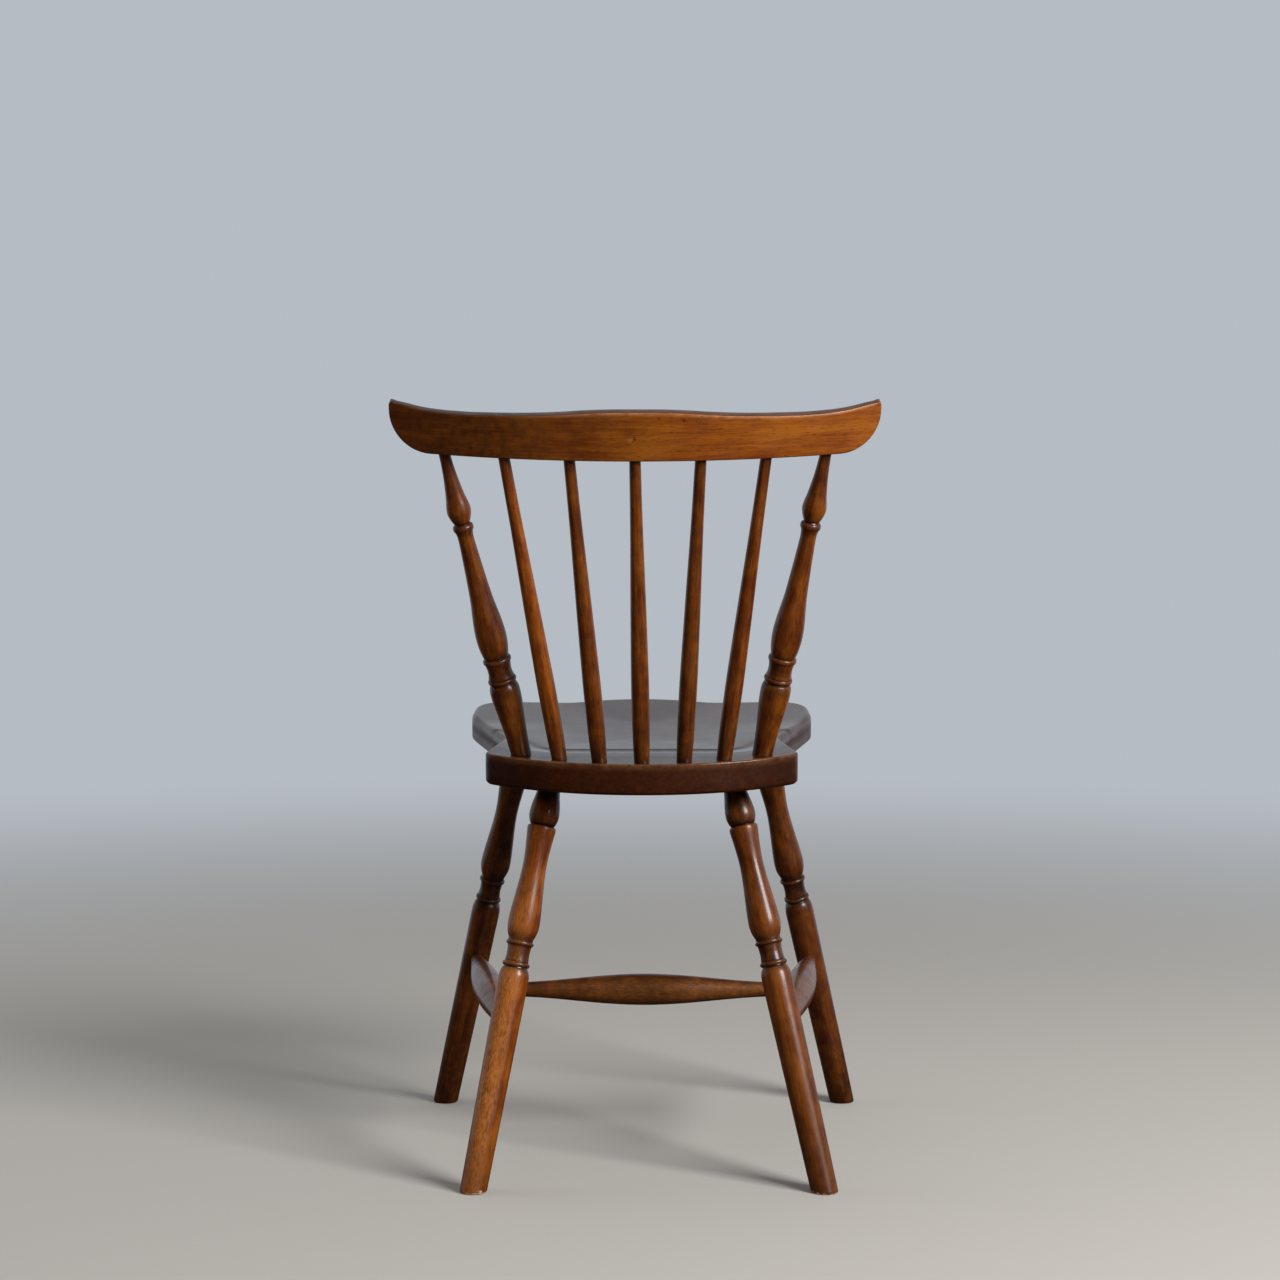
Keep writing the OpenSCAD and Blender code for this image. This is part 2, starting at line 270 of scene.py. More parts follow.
def all_round(out: np.ndarray, low: np.ndarray, side: np.ndarray,
              high: np.ndarray) -> tuple[np.ndarray, np.ndarray]:
    """Goes all the way round a face, in the order of its rim.

    Args:
        out: The outward directions along the right-hand half outline.
        low: Where the low border's points lie on it, from the middle outwards.
        side: Where the side's points lie on it.
        high: Where the high border's points lie on it, from the middle outwards.

    Returns:
        Where each point of the rim lies on the half outline, and its outward direction.
    """
    at = np.concatenate([low[::-1], low[1:], side[1:], high[::-1][1:], high[1:], side[::-1][1:-1]])
    across, up = len(low) - 1, len(side) - 1
    signs = np.concatenate([
        -np.ones(across), [0], np.ones(across), np.ones(up),
        np.ones(across - 1), [0], -np.ones(across), -np.ones(up - 1)])
    directions = picked(out, at)
    directions[:, 0] *= signs
    return at, directions / np.linalg.norm(directions, axis=1)[:, None]


def measured(places: np.ndarray, origin: Vector, slope: float) -> tuple[np.ndarray, np.ndarray, np.ndarray]:
    """Measures places in the own frame of a piece that slopes or leans.

    Args:
        places: Rows of x, y and z in the chair's frame.
        origin: Where the piece's own frame starts.
        slope: Its slope, in radians.

    Returns:
        How far across, forwards and up each place lies.
    """
    shifted = places - np.array(origin)
    cos, sin = math.cos(slope), math.sin(slope)
    return (shifted[:, 0], -shifted[:, 1] * cos + shifted[:, 2] * sin,
            shifted[:, 1] * sin + shifted[:, 2] * cos)


# ---- the plan ------------------------------------------------------------------


@dataclass(frozen=True)
class ChairPlan:
    """Where the sticks meet the seat, the rail and the floor."""

    rear_edge: Vector = field(default_factory=lambda: Vector((-2.45 * MM, 169.38 * MM, 0)))
    seat_height: float = 440 * MM
    seat_slope: float = math.radians(4.8)
    seat_thickness: float = 32.5 * MM
    row_radius: float = 200 * MM
    row_inset: float = 13.5 * MM
    spindle_angle: float = math.radians(12.5)
    post_angle: float = math.radians(38.6)
    lean: float = math.radians(13)
    rail_radius: float = 632 * MM
    rail_foot: float = 750 * MM
    sway: float = 6.8 * MM
    spindle_step: float = 65.2 * MM
    post_half: float = 190.6 * MM
    rear_rack: float = 7.3 * MM
    front_rack: float = 2.5 * MM
    rear_foot_half: float = 180.3 * MM
    front_foot_half: float = 231 * MM
    rear_foot_back: float = 3.5 * MM
    front_foot_out: float = 404 * MM
    rear_top: Pair = (95 * MM, 86 * MM)
    front_top: Pair = (134.5 * MM, 326 * MM)
    side_rear_height: float = 166 * MM
    side_front_height: float = 175 * MM

    def on_seat(self, across: float, forwards: float, up: float) -> Vector:
        """Turns a place on the sloped seat into the chair's frame.

        Args:
            across: Distance across the seat from its middle.
            forwards: Distance in front of its rear edge.
            up: Height over its deck.

        Returns:
            The point in the chair's frame.
        """
        cos, sin = math.cos(self.seat_slope), math.sin(self.seat_slope)
        return self.rear_edge + Vector((
            across, -forwards * cos + up * sin,
            self.seat_height + forwards * sin + up * cos))

    def row_point(self, angle: float) -> Vector:
        """Gives the point of the spindles' row at an angle round it."""
        return self.on_seat(
            self.row_radius * math.sin(angle),
            self.row_inset + self.row_radius * (1 - math.cos(angle)), 0)

    def rail_sag(self, across: float) -> float:
        """Gives the depth of the rail's curve at a distance from its middle."""
        return self.rail_radius - math.sqrt(self.rail_radius ** 2 - across ** 2)

    def rail_point(self, across: float, forwards: float, up: float) -> Vector:
        """Turns a place in the leaning rail's own frame into the chair's frame.

        Args:
            across: Distance along the rail from its middle.
            forwards: Distance in front of the middle of the rail's curve.
            up: Height up the rail's face.

        Returns:
            The point in the chair's frame.
        """
        cos, sin = math.cos(self.lean), math.sin(self.lean)
        base = self.row_point(0).y + (self.rail_foot - self.seat_height) * math.tan(self.lean)
        return Vector((
            self.rear_edge.x + self.sway + across,
            base - forwards * cos + up * sin,
            self.rail_foot + forwards * sin + up * cos))

    def rail_foot_at(self, across: float) -> Vector:
        """Gives the foot of the rail's middle surface."""
        return self.rail_point(across, self.rail_sag(across), 0)

    def spindle_ends(self, place: int) -> tuple[Vector, Vector]:
        """Gives a spindle's ends at the seat and at the rail, from -2 to 2."""
        return self.row_point(place * self.spindle_angle), self.rail_foot_at(place * self.spindle_step)

    def post_ends(self, side: Side) -> tuple[Vector, Vector]:
        """Gives a post's ends at the seat and at the rail."""
        return self.row_point(side.value * self.post_angle), self.rail_foot_at(side.value * self.post_half)

    def rear_leg_ends(self, side: Side) -> tuple[Vector, Vector]:
        """Gives a rear leg's ends at the seat and at the floor."""
        top = self.on_seat(side.value * self.rear_top[0], self.rear_top[1], -self.seat_thickness)
        across = side.value * self.rear_foot_half - self.rear_rack
        return top, self.rear_edge + Vector((across, self.rear_foot_back, 0))

    def front_leg_ends(self, side: Side) -> tuple[Vector, Vector]:
        """Gives a front leg's ends at the seat and at the floor."""
        top = self.on_seat(side.value * self.front_top[0], self.front_top[1], -self.seat_thickness)
        across = side.value * self.front_foot_half - self.front_rack
        return top, self.rear_edge + Vector((across, -self.front_foot_out, 0))

    def side_ends(self, side: Side) -> tuple[Vector, Vector]:
        """Gives a side stretcher's ends, on the axes of its two legs.

        Args:
            side: The sitter's side that it is on.

        Returns:
            Its rear end and its front end.
        """
        ends = []
        for (top, foot), height in (
                (self.rear_leg_ends(side), self.side_rear_height),
                (self.front_leg_ends(side), self.side_front_height)):
            ends.append(foot + (top - foot) * height / top.z)
        return ends[0], ends[1]

    def cross_ends(self) -> tuple[Vector, Vector]:
        """Gives the cross stretcher's ends, in the middles of the side ones."""
        middles = [sum(self.side_ends(side), Vector()) / 2 for side in Side]
        return middles[0], middles[1]


# ---- the workbench -------------------------------------------------------------


class Bench:
    """The hand tools that every piece is made with."""

    @staticmethod
    def clear() -> None:
        """Leaves nothing selected."""
        if bpy.context.object is not None and bpy.context.object.mode != "OBJECT":
            bpy.ops.object.mode_set(mode="OBJECT")
        bpy.ops.object.select_all(action="DESELECT")

    @staticmethod
    def take(piece: bpy.types.Object) -> None:
        """Selects one piece alone and makes it the active one."""
        Bench.clear()
        piece.select_set(True)
        bpy.context.view_layer.objects.active = piece

    @staticmethod
    def number_vertices(piece: bpy.types.Object, numbers: Sequence[int]) -> None:
        """Writes a station number on each vertex, which an extrusion copies."""
        stations = piece.data.attributes.new("station", "INT", "POINT")
        stations.data.foreach_set("value", list(numbers))

    @staticmethod
    def put_selected(piece: bpy.types.Object, places: Sequence[Vector]) -> None:
        """Moves each selected vertex to the place of its station number.

        Args:
            piece: The piece in edit mode.
            places: A place for each number.
        """
        mesh = bmesh.from_edit_mesh(piece.data)
        layer = mesh.verts.layers.int["station"]
        for vertex in mesh.verts:
            if vertex.select:
                vertex.co = places[vertex[layer]]
        bmesh.update_edit_mesh(piece.data)

    @staticmethod
    def finish(piece: bpy.types.Object, crease: float = 34) -> None:
        """Points the faces outwards and smooths all but the sharp edges.

        Args:
            piece: The piece to finish.
            crease: Edges with more than this angle stay sharp, in degrees.
        """
        Bench.take(piece)
        bpy.ops.object.mode_set(mode="EDIT")
        bpy.ops.mesh.select_all(action="SELECT")
        bpy.ops.mesh.normals_make_consistent(inside=False)
        bpy.ops.object.mode_set(mode="OBJECT")
        bpy.ops.object.shade_smooth_by_angle(angle=math.radians(crease))
        piece.select_set(False)

    @staticmethod
    def spun(name: str, profile: Sequence[Pair]) -> bpy.types.Object:
        """Turns a stick on the Z axis.

        A point is pulled along the profile, from one end of the axis to the
        other, and the line is spun all the way round.

        Args:
            name: The piece's name.
            profile: Pairs of a distance along the stick and a radius.

        Returns:
            The stick, standing at the origin.
        """
        line = [(profile[0][0], 0.0), *profile, (profile[-1][0], 0.0)]
        Bench.clear()
        bpy.ops.mesh.primitive_plane_add(size=MM, location=(0, 0, line[0][0]))
        piece = bpy.context.object
        piece.name = name
        bpy.ops.object.transform_apply(location=True, rotation=True, scale=True)
        bpy.ops.object.mode_set(mode="EDIT")
        bpy.ops.mesh.select_mode(type="VERT")
        bpy.ops.mesh.select_all(action="SELECT")
        bpy.ops.mesh.merge(type="CENTER")
        for (z_from, r_from), (z_to, r_to) in zip(line, line[1:]):
            bpy.ops.mesh.extrude_region_move(
                TRANSFORM_OT_translate={"value": (r_to - r_from, 0, z_to - z_from)})
        bpy.ops.mesh.select_all(action="SELECT")
        bpy.ops.mesh.spin(steps=SPIN_STEPS, angle=2 * math.pi, center=(0, 0, 0), axis=(0, 0, 1))
        bpy.ops.mesh.select_all(action="SELECT")
        bpy.ops.mesh.remove_doubles(threshold=0.004 * MM)
        bpy.ops.object.mode_set(mode="OBJECT")
        return piece

    @staticmethod
    def grid(name: str, points: Sequence[Sequence[Vector]]) -> bpy.types.Object:
        """Lays a sheet of four-sided faces through rows of points.

        Args:
            name: The piece's name.
            points: Rows of points, each row as long as the others.

        Returns:
            The sheet.
        """
        rows, columns = len(points), len(points[0])
        Bench.clear()
        bpy.ops.mesh.primitive_grid_add(x_subdivisions=columns - 1, y_subdivisions=rows - 1, size=1)
        piece = bpy.context.object
        piece.name = name
        for vertex in piece.data.vertices:
            column = round((vertex.co.x + 0.5) * (columns - 1))
            row = round((vertex.co.y + 0.5) * (rows - 1))
            vertex.co = points[row][column]
        return piece

    @staticmethod
    def rim(points: Sequence[Sequence[Vector]]) -> list[Vector]:
        """Gives the points round the edge of rows of points, anticlockwise.

        Args:
            points: The rows of points.

        Returns:
            The edge's points, from the first row's first.
        """
        edge = list(points[0])
        edge += [row[-1] for row in points[1:]]
        edge += list(reversed(points[-1][:-1]))
        edge += [row[0] for row in reversed(points[1:-1])]
        return edge

    @staticmethod
    def slab(name: str, face: Sequence[Sequence[Vector]], rings: Sequence[Sequence[Vector]],
             back: Sequence[Sequence[Vector]] | None) -> bpy.types.Object:
        """Makes a slab from a face, by pulling its edge round to the back.

        Args:
            name: The piece's name.
            face: The face's rows of points.
            rings: The edge's rings, each as long as the face's rim.
            back: The back face's rows of points, or None for a flat back.

        Returns:
            The slab, closed.
        """
        piece = Bench.grid(name, face)
        number = {tuple(round(c, 7) for c in point): k for k, point in enumerate(Bench.rim(face))}
        Bench.number_vertices(
            piece, [number.get(tuple(round(c, 7) for c in v.co), 0) for v in piece.data.vertices])
        bpy.ops.object.mode_set(mode="EDIT")
        bpy.ops.mesh.select_mode(type="EDGE")
        bpy.ops.mesh.select_all(action="DESELECT")
        bpy.ops.mesh.select_non_manifold(extend=False)
        for ring in rings:
            bpy.ops.mesh.extrude_region_move()
            Bench.put_selected(piece, ring)
        if back is None:
            bpy.ops.mesh.edge_face_add()
        bpy.ops.object.mode_set(mode="OBJECT")
        if back is not None:
            sheet = Bench.grid(name + "_back", back)
            Bench.take(piece)
            sheet.select_set(True)
            bpy.ops.object.join()
            bpy.ops.object.mode_set(mode="EDIT")
            bpy.ops.mesh.select_all(action="SELECT")
            bpy.ops.mesh.remove_doubles(threshold=0.01 * MM)
            bpy.ops.object.mode_set(mode="OBJECT")
        piece.data.attributes.remove(piece.data.attributes["station"])
        return piece

    @staticmethod
    def write(piece: bpy.types.Object, name: str, values: np.ndarray) -> None:
        """Writes one number or one vector on each vertex.

        Args:
            piece: The piece to write on.
            name: The name that its material reads.
            values: An array of n numbers, or of n rows of three.
        """
        vectors = values.ndim == 2
        layer = piece.data.attributes.new(name, "FLOAT_VECTOR" if vectors else "FLOAT", "POINT")
        layer.data.foreach_set("vector" if vectors else "value", values.astype(np.float32).ravel())

    @staticmethod
    def write_nothing(piece: bpy.types.Object, *names: str) -> None:
        """Writes a nought on each vertex under each name."""
        for name in names:
            Bench.write(piece, name, np.zeros(len(piece.data.vertices)))

    @staticmethod
    def vertices(piece: bpy.types.Object) -> np.ndarray:
        """Reads where all the vertices of a piece are."""
        places = np.zeros(len(piece.data.vertices) * 3, np.float32)
        piece.data.vertices.foreach_get("co", places)
        return places.reshape(-1, 3).astype(float)


# ---- finishes ------------------------------------------------------------------


class Recipe:
    """A finish or a sky being mixed: its owner and the nodes put into it."""

    def __init__(self, owner: bpy.types.Material | bpy.types.World) -> None:
        """Starts with the owner's first shader.

        Args:
            owner: The material or the world that the nodes are for.
        """
        owner.use_nodes = True
        self.owner = owner
        self.nodes = owner.node_tree.nodes
        self.links = owner.node_tree.links
        finish = isinstance(owner, bpy.types.Material)
        self.shader = self.nodes["Principled BSDF" if finish else "Background"]
        self.output = self.nodes["Material Output" if finish else "World Output"]

    def add(self, kind: str, inputs: dict | None = None, **settings: object) -> bpy.types.Node:
        """Adds a node, with its settings and what goes into its sockets.

        Args:
            kind: The node's type.
            inputs: Values or output sockets by socket name or number.
            **settings: The node's own settings.

        Returns:
            The new node.
        """
        node = self.nodes.new(kind)
        for key, value in settings.items():
            setattr(node, key, value)
        for key, value in (inputs or {}).items():
            self.feed(node.inputs[key], value)
        return node

    def feed(self, socket: bpy.types.NodeSocket, value: object) -> None:
        """Links a socket to an output, or sets its value.

        Args:
            socket: The socket to feed.
            value: An output socket, or a plain value.
        """
        if isinstance(value, bpy.types.NodeSocket):
            self.links.new(value, socket)
        else:
            socket.default_value = value

    def set(self, **values: object) -> None:
        """Feeds the first shader's sockets, a _ in a name standing for a space."""
        for name, value in values.items():
            self.feed(self.shader.inputs[name.replace("_", " ")], value)

    def own(self, name: str, number: bool = False) -> bpy.types.NodeSocket:
        """Reads what was written on the vertices under a name."""
        node = self.add("ShaderNodeAttribute", attribute_name=name)
        return node.outputs["Fac" if number else "Vector"]

    def drawn_out(self, vector: bpy.types.NodeSocket, share: float) -> bpy.types.NodeSocket:
        """Draws a pattern out along the grain; a small share gives long streaks."""
        return self.add("ShaderNodeMapping", {"Vector": vector, "Scale": (1, 1, share)}).outputs[0]

    def noise(self, vector: bpy.types.NodeSocket, scale: float, detail: float,
              roughness: float, distortion: float = 0.0) -> bpy.types.NodeSocket:
        """Adds a cloudy pattern from 0 to 1.

        Args:
            vector: The coordinates that it lies on.
            scale: How many clouds there are to a metre.
            detail: How many finer layers it has.
            roughness: How strong the finer layers are.
            distortion: How far it is swirled.

        Returns:
            The pattern.
        """
        return self.add("ShaderNodeTexNoise", {
            "Vector": vector, "Scale": scale, "Detail": detail,
            "Roughness": roughness, "Distortion": distortion}).outputs[0]

    def ramp(self, value: bpy.types.NodeSocket, *stops: tuple[float, Colour]) -> bpy.types.NodeSocket:
        """Turns a number into a colour.

        Args:
            value: The number.
            *stops: Pairs of a number and its colour.

        Returns:
            The colour.
        """
        node = self.add("ShaderNodeValToRGB", {"Fac": value})
        band = node.color_ramp
        while len(band.elements) < len(stops):
            band.elements.new(0.5)
        for element, (place, colour) in zip(band.elements, stops):
            element.position = place
            element.color = colour
        return node.outputs[0]

    def fit(self, value: bpy.types.NodeSocket, low: float, high: float,
            to_low: float = 0.0, to_high: float = 1.0, curve: str = "SMOOTHSTEP") -> bpy.types.NodeSocket:
        """Fits a number's range to another, clamped at both ends.

        Args:
            value: The number.
            low: Where the old range starts.
            high: Where it ends.
            to_low: Where the new range starts.
            to_high: Where it ends.
            curve: The kind of curve between the ends.

        Returns:
            The new number.
        """
        return self.add("ShaderNodeMapRange", {
            "Value": value, "From Min": low, "From Max": high, "To Min": to_low,
            "To Max": to_high}, interpolation_type=curve).outputs[0]

    def maths(self, what: str, first: object, second: object) -> bpy.types.NodeSocket:
        """Works out a sum, a product or the like of two numbers."""
        return self.add("ShaderNodeMath", {0: first, 1: second}, operation=what).outputs[0]

    def times(self, first: object, second: object) -> bpy.types.NodeSocket:
        """Multiplies two numbers."""
        return self.maths("MULTIPLY", first, second)

    def mix(self, amount: object, first: object, second: object) -> bpy.types.NodeSocket:
        """Mixes two colours.

        Args:
            amount: How much of the second there is, from 0 to 1.
            first: The first colour.
            second: The second colour.

        Returns:
            The mixed colour.
        """
        node = self.add("ShaderNodeMix", data_type="RGBA", blend_type="MIX")
        self.feed(node.inputs[0], amount)
        self.feed(node.inputs[6], first)
        self.feed(node.inputs[7], second)
        return node.outputs[2]

    def either(self, amount: object, first: bpy.types.Node, second: bpy.types.Node) -> bpy.types.Node:
        """Mixes two shaders, the amount being how much of the second there is."""
        return self.add("ShaderNodeMixShader", {0: amount, 1: first.outputs[0], 2: second.outputs[0]})

    def pour(self, shader: bpy.types.Node) -> None:
        """Makes a shader the one that the owner shows."""
        self.feed(self.output.inputs["Surface"], shader.outputs[0])

    def bump(self, height: bpy.types.NodeSocket, strength: float, distance: float,
             under: bpy.types.NodeSocket | None = None) -> bpy.types.NodeSocket:
        """Raises the surface by a pattern.

        Args:
            height: The pattern.
            strength: How strongly it shows, from 0 to 1.
            distance: Its full height in metres.
            under: The relief that lies under it, if there is one.

        Returns:
            The surface's new direction.
        """
        node = self.add("ShaderNodeBump", {"Height": height, "Strength": strength, "Distance": distance})
        if under is not None:
            self.links.new(under, node.inputs["Normal"])
        return node.outputs[0]


@dataclass(frozen=True)
class Mark:
    """A small old mark on a face: a nail hole, a knot or a pale scuffed spot."""

    place: tuple[float, float, float]
    radius: float
    strength: float
    pale: bool = False


@dataclass(frozen=True)
class Wood:
    """A stained and varnished wood.

    The vertices say where they lie in the grain, which runs along its Z, and
    how scuffed, dark, pale, bare and smooth the wood is there. The darkness is
    dirty places and painted shade; the paleness on one side is bleaching and
    painted light; on the crest rail the proud top rear edge is a painted
    highlight, and its top face and bottom edge are painted shade. A scale is
    how many clouds of a pattern there are to a metre.
    """

    name: str
    dark: Colour
    middle: Colour
    light: Colour
    # The dark colour of pores, dirty places, hollows and dark marks; it also paints shade.
    dirt_and_shade_colour: Colour
    # The pale colour of scuffed rims and scratches; on the crest rail it paints a highlight.
    rubbed_and_highlight: Colour
    # The pale colour of a bleached side; it also paints light on one side of a stick.
    faded: Colour = stain(204, 128, 62)
    raw: Colour = stain(196, 164, 124)
    varnish: float = 0.6
    varnish_roughness: float = 0.24
    dullness: float = 0.46
    sheen_level: float = 0.22
    pore: float = 0.7
    blotch: float = 0.4
    blotch_scale: float = 70.0
    contrast: float = 0.085
    haze: float = 0.09
    waviness: float = 0.25
    fibre_scale: float = 1000
    band_scale: float = 190
    dash_scale: float = 1500
    patch_scale: float = 90
    fleck_scale: float = 620
    ragged_scale: float = 200
    haze_scale: float = 45
    wave_scale: float = 60
    marks: tuple[Mark, ...] = ()

    def stained(self, recipe: Recipe, grain: bpy.types.NodeSocket) -> bpy.types.NodeSocket:
        """Mixes the stained wood: its fibres, its growth bands and its blotches.

        Args:
            recipe: The finish that it goes into.
            grain: The grain's coordinates.

        Returns:
            The colour before any wear.
        """
        fibre = recipe.noise(recipe.drawn_out(grain, 0.03), self.fibre_scale, 4, 0.65)
        bands = recipe.noise(recipe.drawn_out(grain, 0.06), self.band_scale, 3, 0.55, 0.4)
        blotch = recipe.noise(recipe.drawn_out(grain, 0.5), self.blotch_scale, 4, 0.6)
        rest = (1 - self.blotch) / 2
        tone = recipe.maths("ADD", recipe.times(fibre, rest), recipe.times(bands, rest))
        tone = recipe.maths("ADD", tone, recipe.times(blotch, self.blotch))
        colour = recipe.ramp(tone, (0.5 - self.contrast, self.dark), (0.5, self.middle),
                             (0.5 + self.contrast, self.light))
        dashes = recipe.noise(recipe.drawn_out(grain, 0.1), self.dash_scale, 2, 0.5)
        return recipe.mix(recipe.fit(dashes, 0.6, 0.7, 0.0, self.pore), colour, self.dirt_and_shade_colour)

    def weathered_and_lit(self, recipe: Recipe, grain: bpy.types.NodeSocket, colour: bpy.types.NodeSocket,
                  flecks: bpy.types.NodeSocket) -> bpy.types.NodeSocket:
        """Lays on the paler side, partly painted light; the dirty places and the
        painted shade; the scuffed rims, a painted highlight on the crest rail; the
        bare places and the marks.

        Args:
            recipe: The finish that it goes into.
            grain: The grain's coordinates.
            colour: The colour of the stained wood.
            flecks: Short flecks along the grain.

        Returns:
            The colour with its wear and its painted light and shade.
        """
        worn = recipe.own("worn", number=True)
        patches = recipe.noise(grain, self.patch_scale, 3, 0.6)
        # Paler on one side, in patches: partly bleaching, partly painted light.
        in_patches = recipe.fit(recipe.maths("ADD", flecks, recipe.times(patches, 0.5)), 0.55, 0.95, 0.35, 1.25)
        colour = recipe.mix(recipe.times(recipe.own("faded", number=True), in_patches), colour, self.faded)
        # Darker where dirty, and by painted shade on the crest rail and on whole sticks.
        dirt_and_shade = recipe.times(recipe.own("aged", number=True), recipe.fit(patches, 0.3, 0.7, 0.8, 1.2))
        colour = recipe.mix(dirt_and_shade, colour, self.dirt_and_shade_colour)
        # Darker in hollows where dirty; on the crest rail's top face and bottom edge, painted shade.
        sunk_and_shaded = recipe.times(recipe.fit(worn, -0.04, -0.75), 0.86)
        colour = recipe.mix(sunk_and_shaded, colour, self.dirt_and_shade_colour)
        # Paler on proud rims by wear; along the crest rail's top rear edge, a painted highlight.
        raised_and_highlit = recipe.times(recipe.fit(worn, 0.12, 1.0), recipe.fit(patches, 0.3, 0.7, 0.35, 1.0))
        colour = recipe.mix(recipe.times(raised_and_highlit, 0.5), colour, self.rubbed_and_highlight)
        edge = recipe.fit(recipe.noise(grain, self.ragged_scale, 3, 0.6), 0.3, 0.7, -0.45, 0.15)
        ragged = recipe.maths("ADD", recipe.own("bare", number=True), edge)
        colour = recipe.mix(recipe.fit(ragged, 0.45, 0.6), colour, self.raw)
        for mark in self.marks:
            place = recipe.add("ShaderNodeTexCoord").outputs["Object"]
            apart = recipe.add("ShaderNodeVectorMath", {0: place, 1: mark.place}, operation="DISTANCE")
            amount = recipe.fit(apart.outputs["Value"], mark.radius, mark.radius * 0.4, 0.0, mark.strength)
            colour = recipe.mix(amount, colour, self.rubbed_and_highlight if mark.pale else self.dirt_and_shade_colour)
        return colour

    def mixed(self) -> bpy.types.Material:
        """Mixes the finish.

        Returns:
            The material.
        """
        recipe = Recipe(bpy.data.materials.new(self.name))
        grain = recipe.own("grain")
        flecks = recipe.noise(recipe.drawn_out(grain, 0.3), self.fleck_scale, 3, 0.6)
        haze = recipe.fit(recipe.noise(grain, self.haze_scale, 3, 0.6), 0.25, 0.75,
                          self.dullness - self.haze, self.dullness + self.haze)
        smooth = recipe.times(recipe.own("smooth", number=True), 0.3)
        waves = recipe.noise(recipe.drawn_out(grain, 0.4), self.wave_scale, 2, 0.5)
        wavy = recipe.bump(waves, self.waviness, 0.6 * MM)
        recipe.set(
            Base_Color=self.weathered_and_lit(recipe, grain, self.stained(recipe, grain), flecks),
            Roughness=recipe.maths("SUBTRACT", haze, smooth),
            Normal=recipe.bump(flecks, self.waviness, 0.12 * MM, wavy),
            Specular_IOR_Level=self.sheen_level,
            Coat_Weight=self.varnish,
            Coat_Roughness=self.varnish_roughness,
            Coat_IOR=1.5)
        return recipe.owner


TURNED = Wood(
    "turned_wood_varnished",
    dark=stain(98, 40, 3), middle=stain(134, 66, 7), light=stain(160, 88, 16),
    dirt_and_shade_colour=stain(22, 8, 3), rubbed_and_highlight=stain(126, 72, 38))
# The rail's pale colour is mostly a painted highlight along its top rear edge; it also colours pale
# scratches.
RAIL = Wood(
    "rail_wood_varnished",
    dark=stain(122, 55, 3), middle=stain(146, 75, 7), light=stain(166, 93, 16),
    dirt_and_shade_colour=stain(36, 13, 3), rubbed_and_highlight=stain(222, 160, 112), varnish=0.3, varnish_roughness=0.2,
    sheen_level=0.3, blotch_scale=34.0)
# The seat's pale colour marks a line on the top's rear edge, partly wear and partly a painted highlight.
SEAT = Wood(
    "seat_wood_varnished",
    dark=stain(48, 18, 3), middle=stain(64, 26, 4), light=stain(82, 36, 6),
    dirt_and_shade_colour=stain(14, 5, 2), rubbed_and_highlight=stain(150, 104, 70), varnish=0.06, varnish_roughness=0.2,
    sheen_level=0.32, dullness=0.48, blotch=0.2, blotch_scale=30.0, contrast=0.12, haze=0.035,
    waviness=0.05)


# ---- turned sticks -------------------------------------------------------------


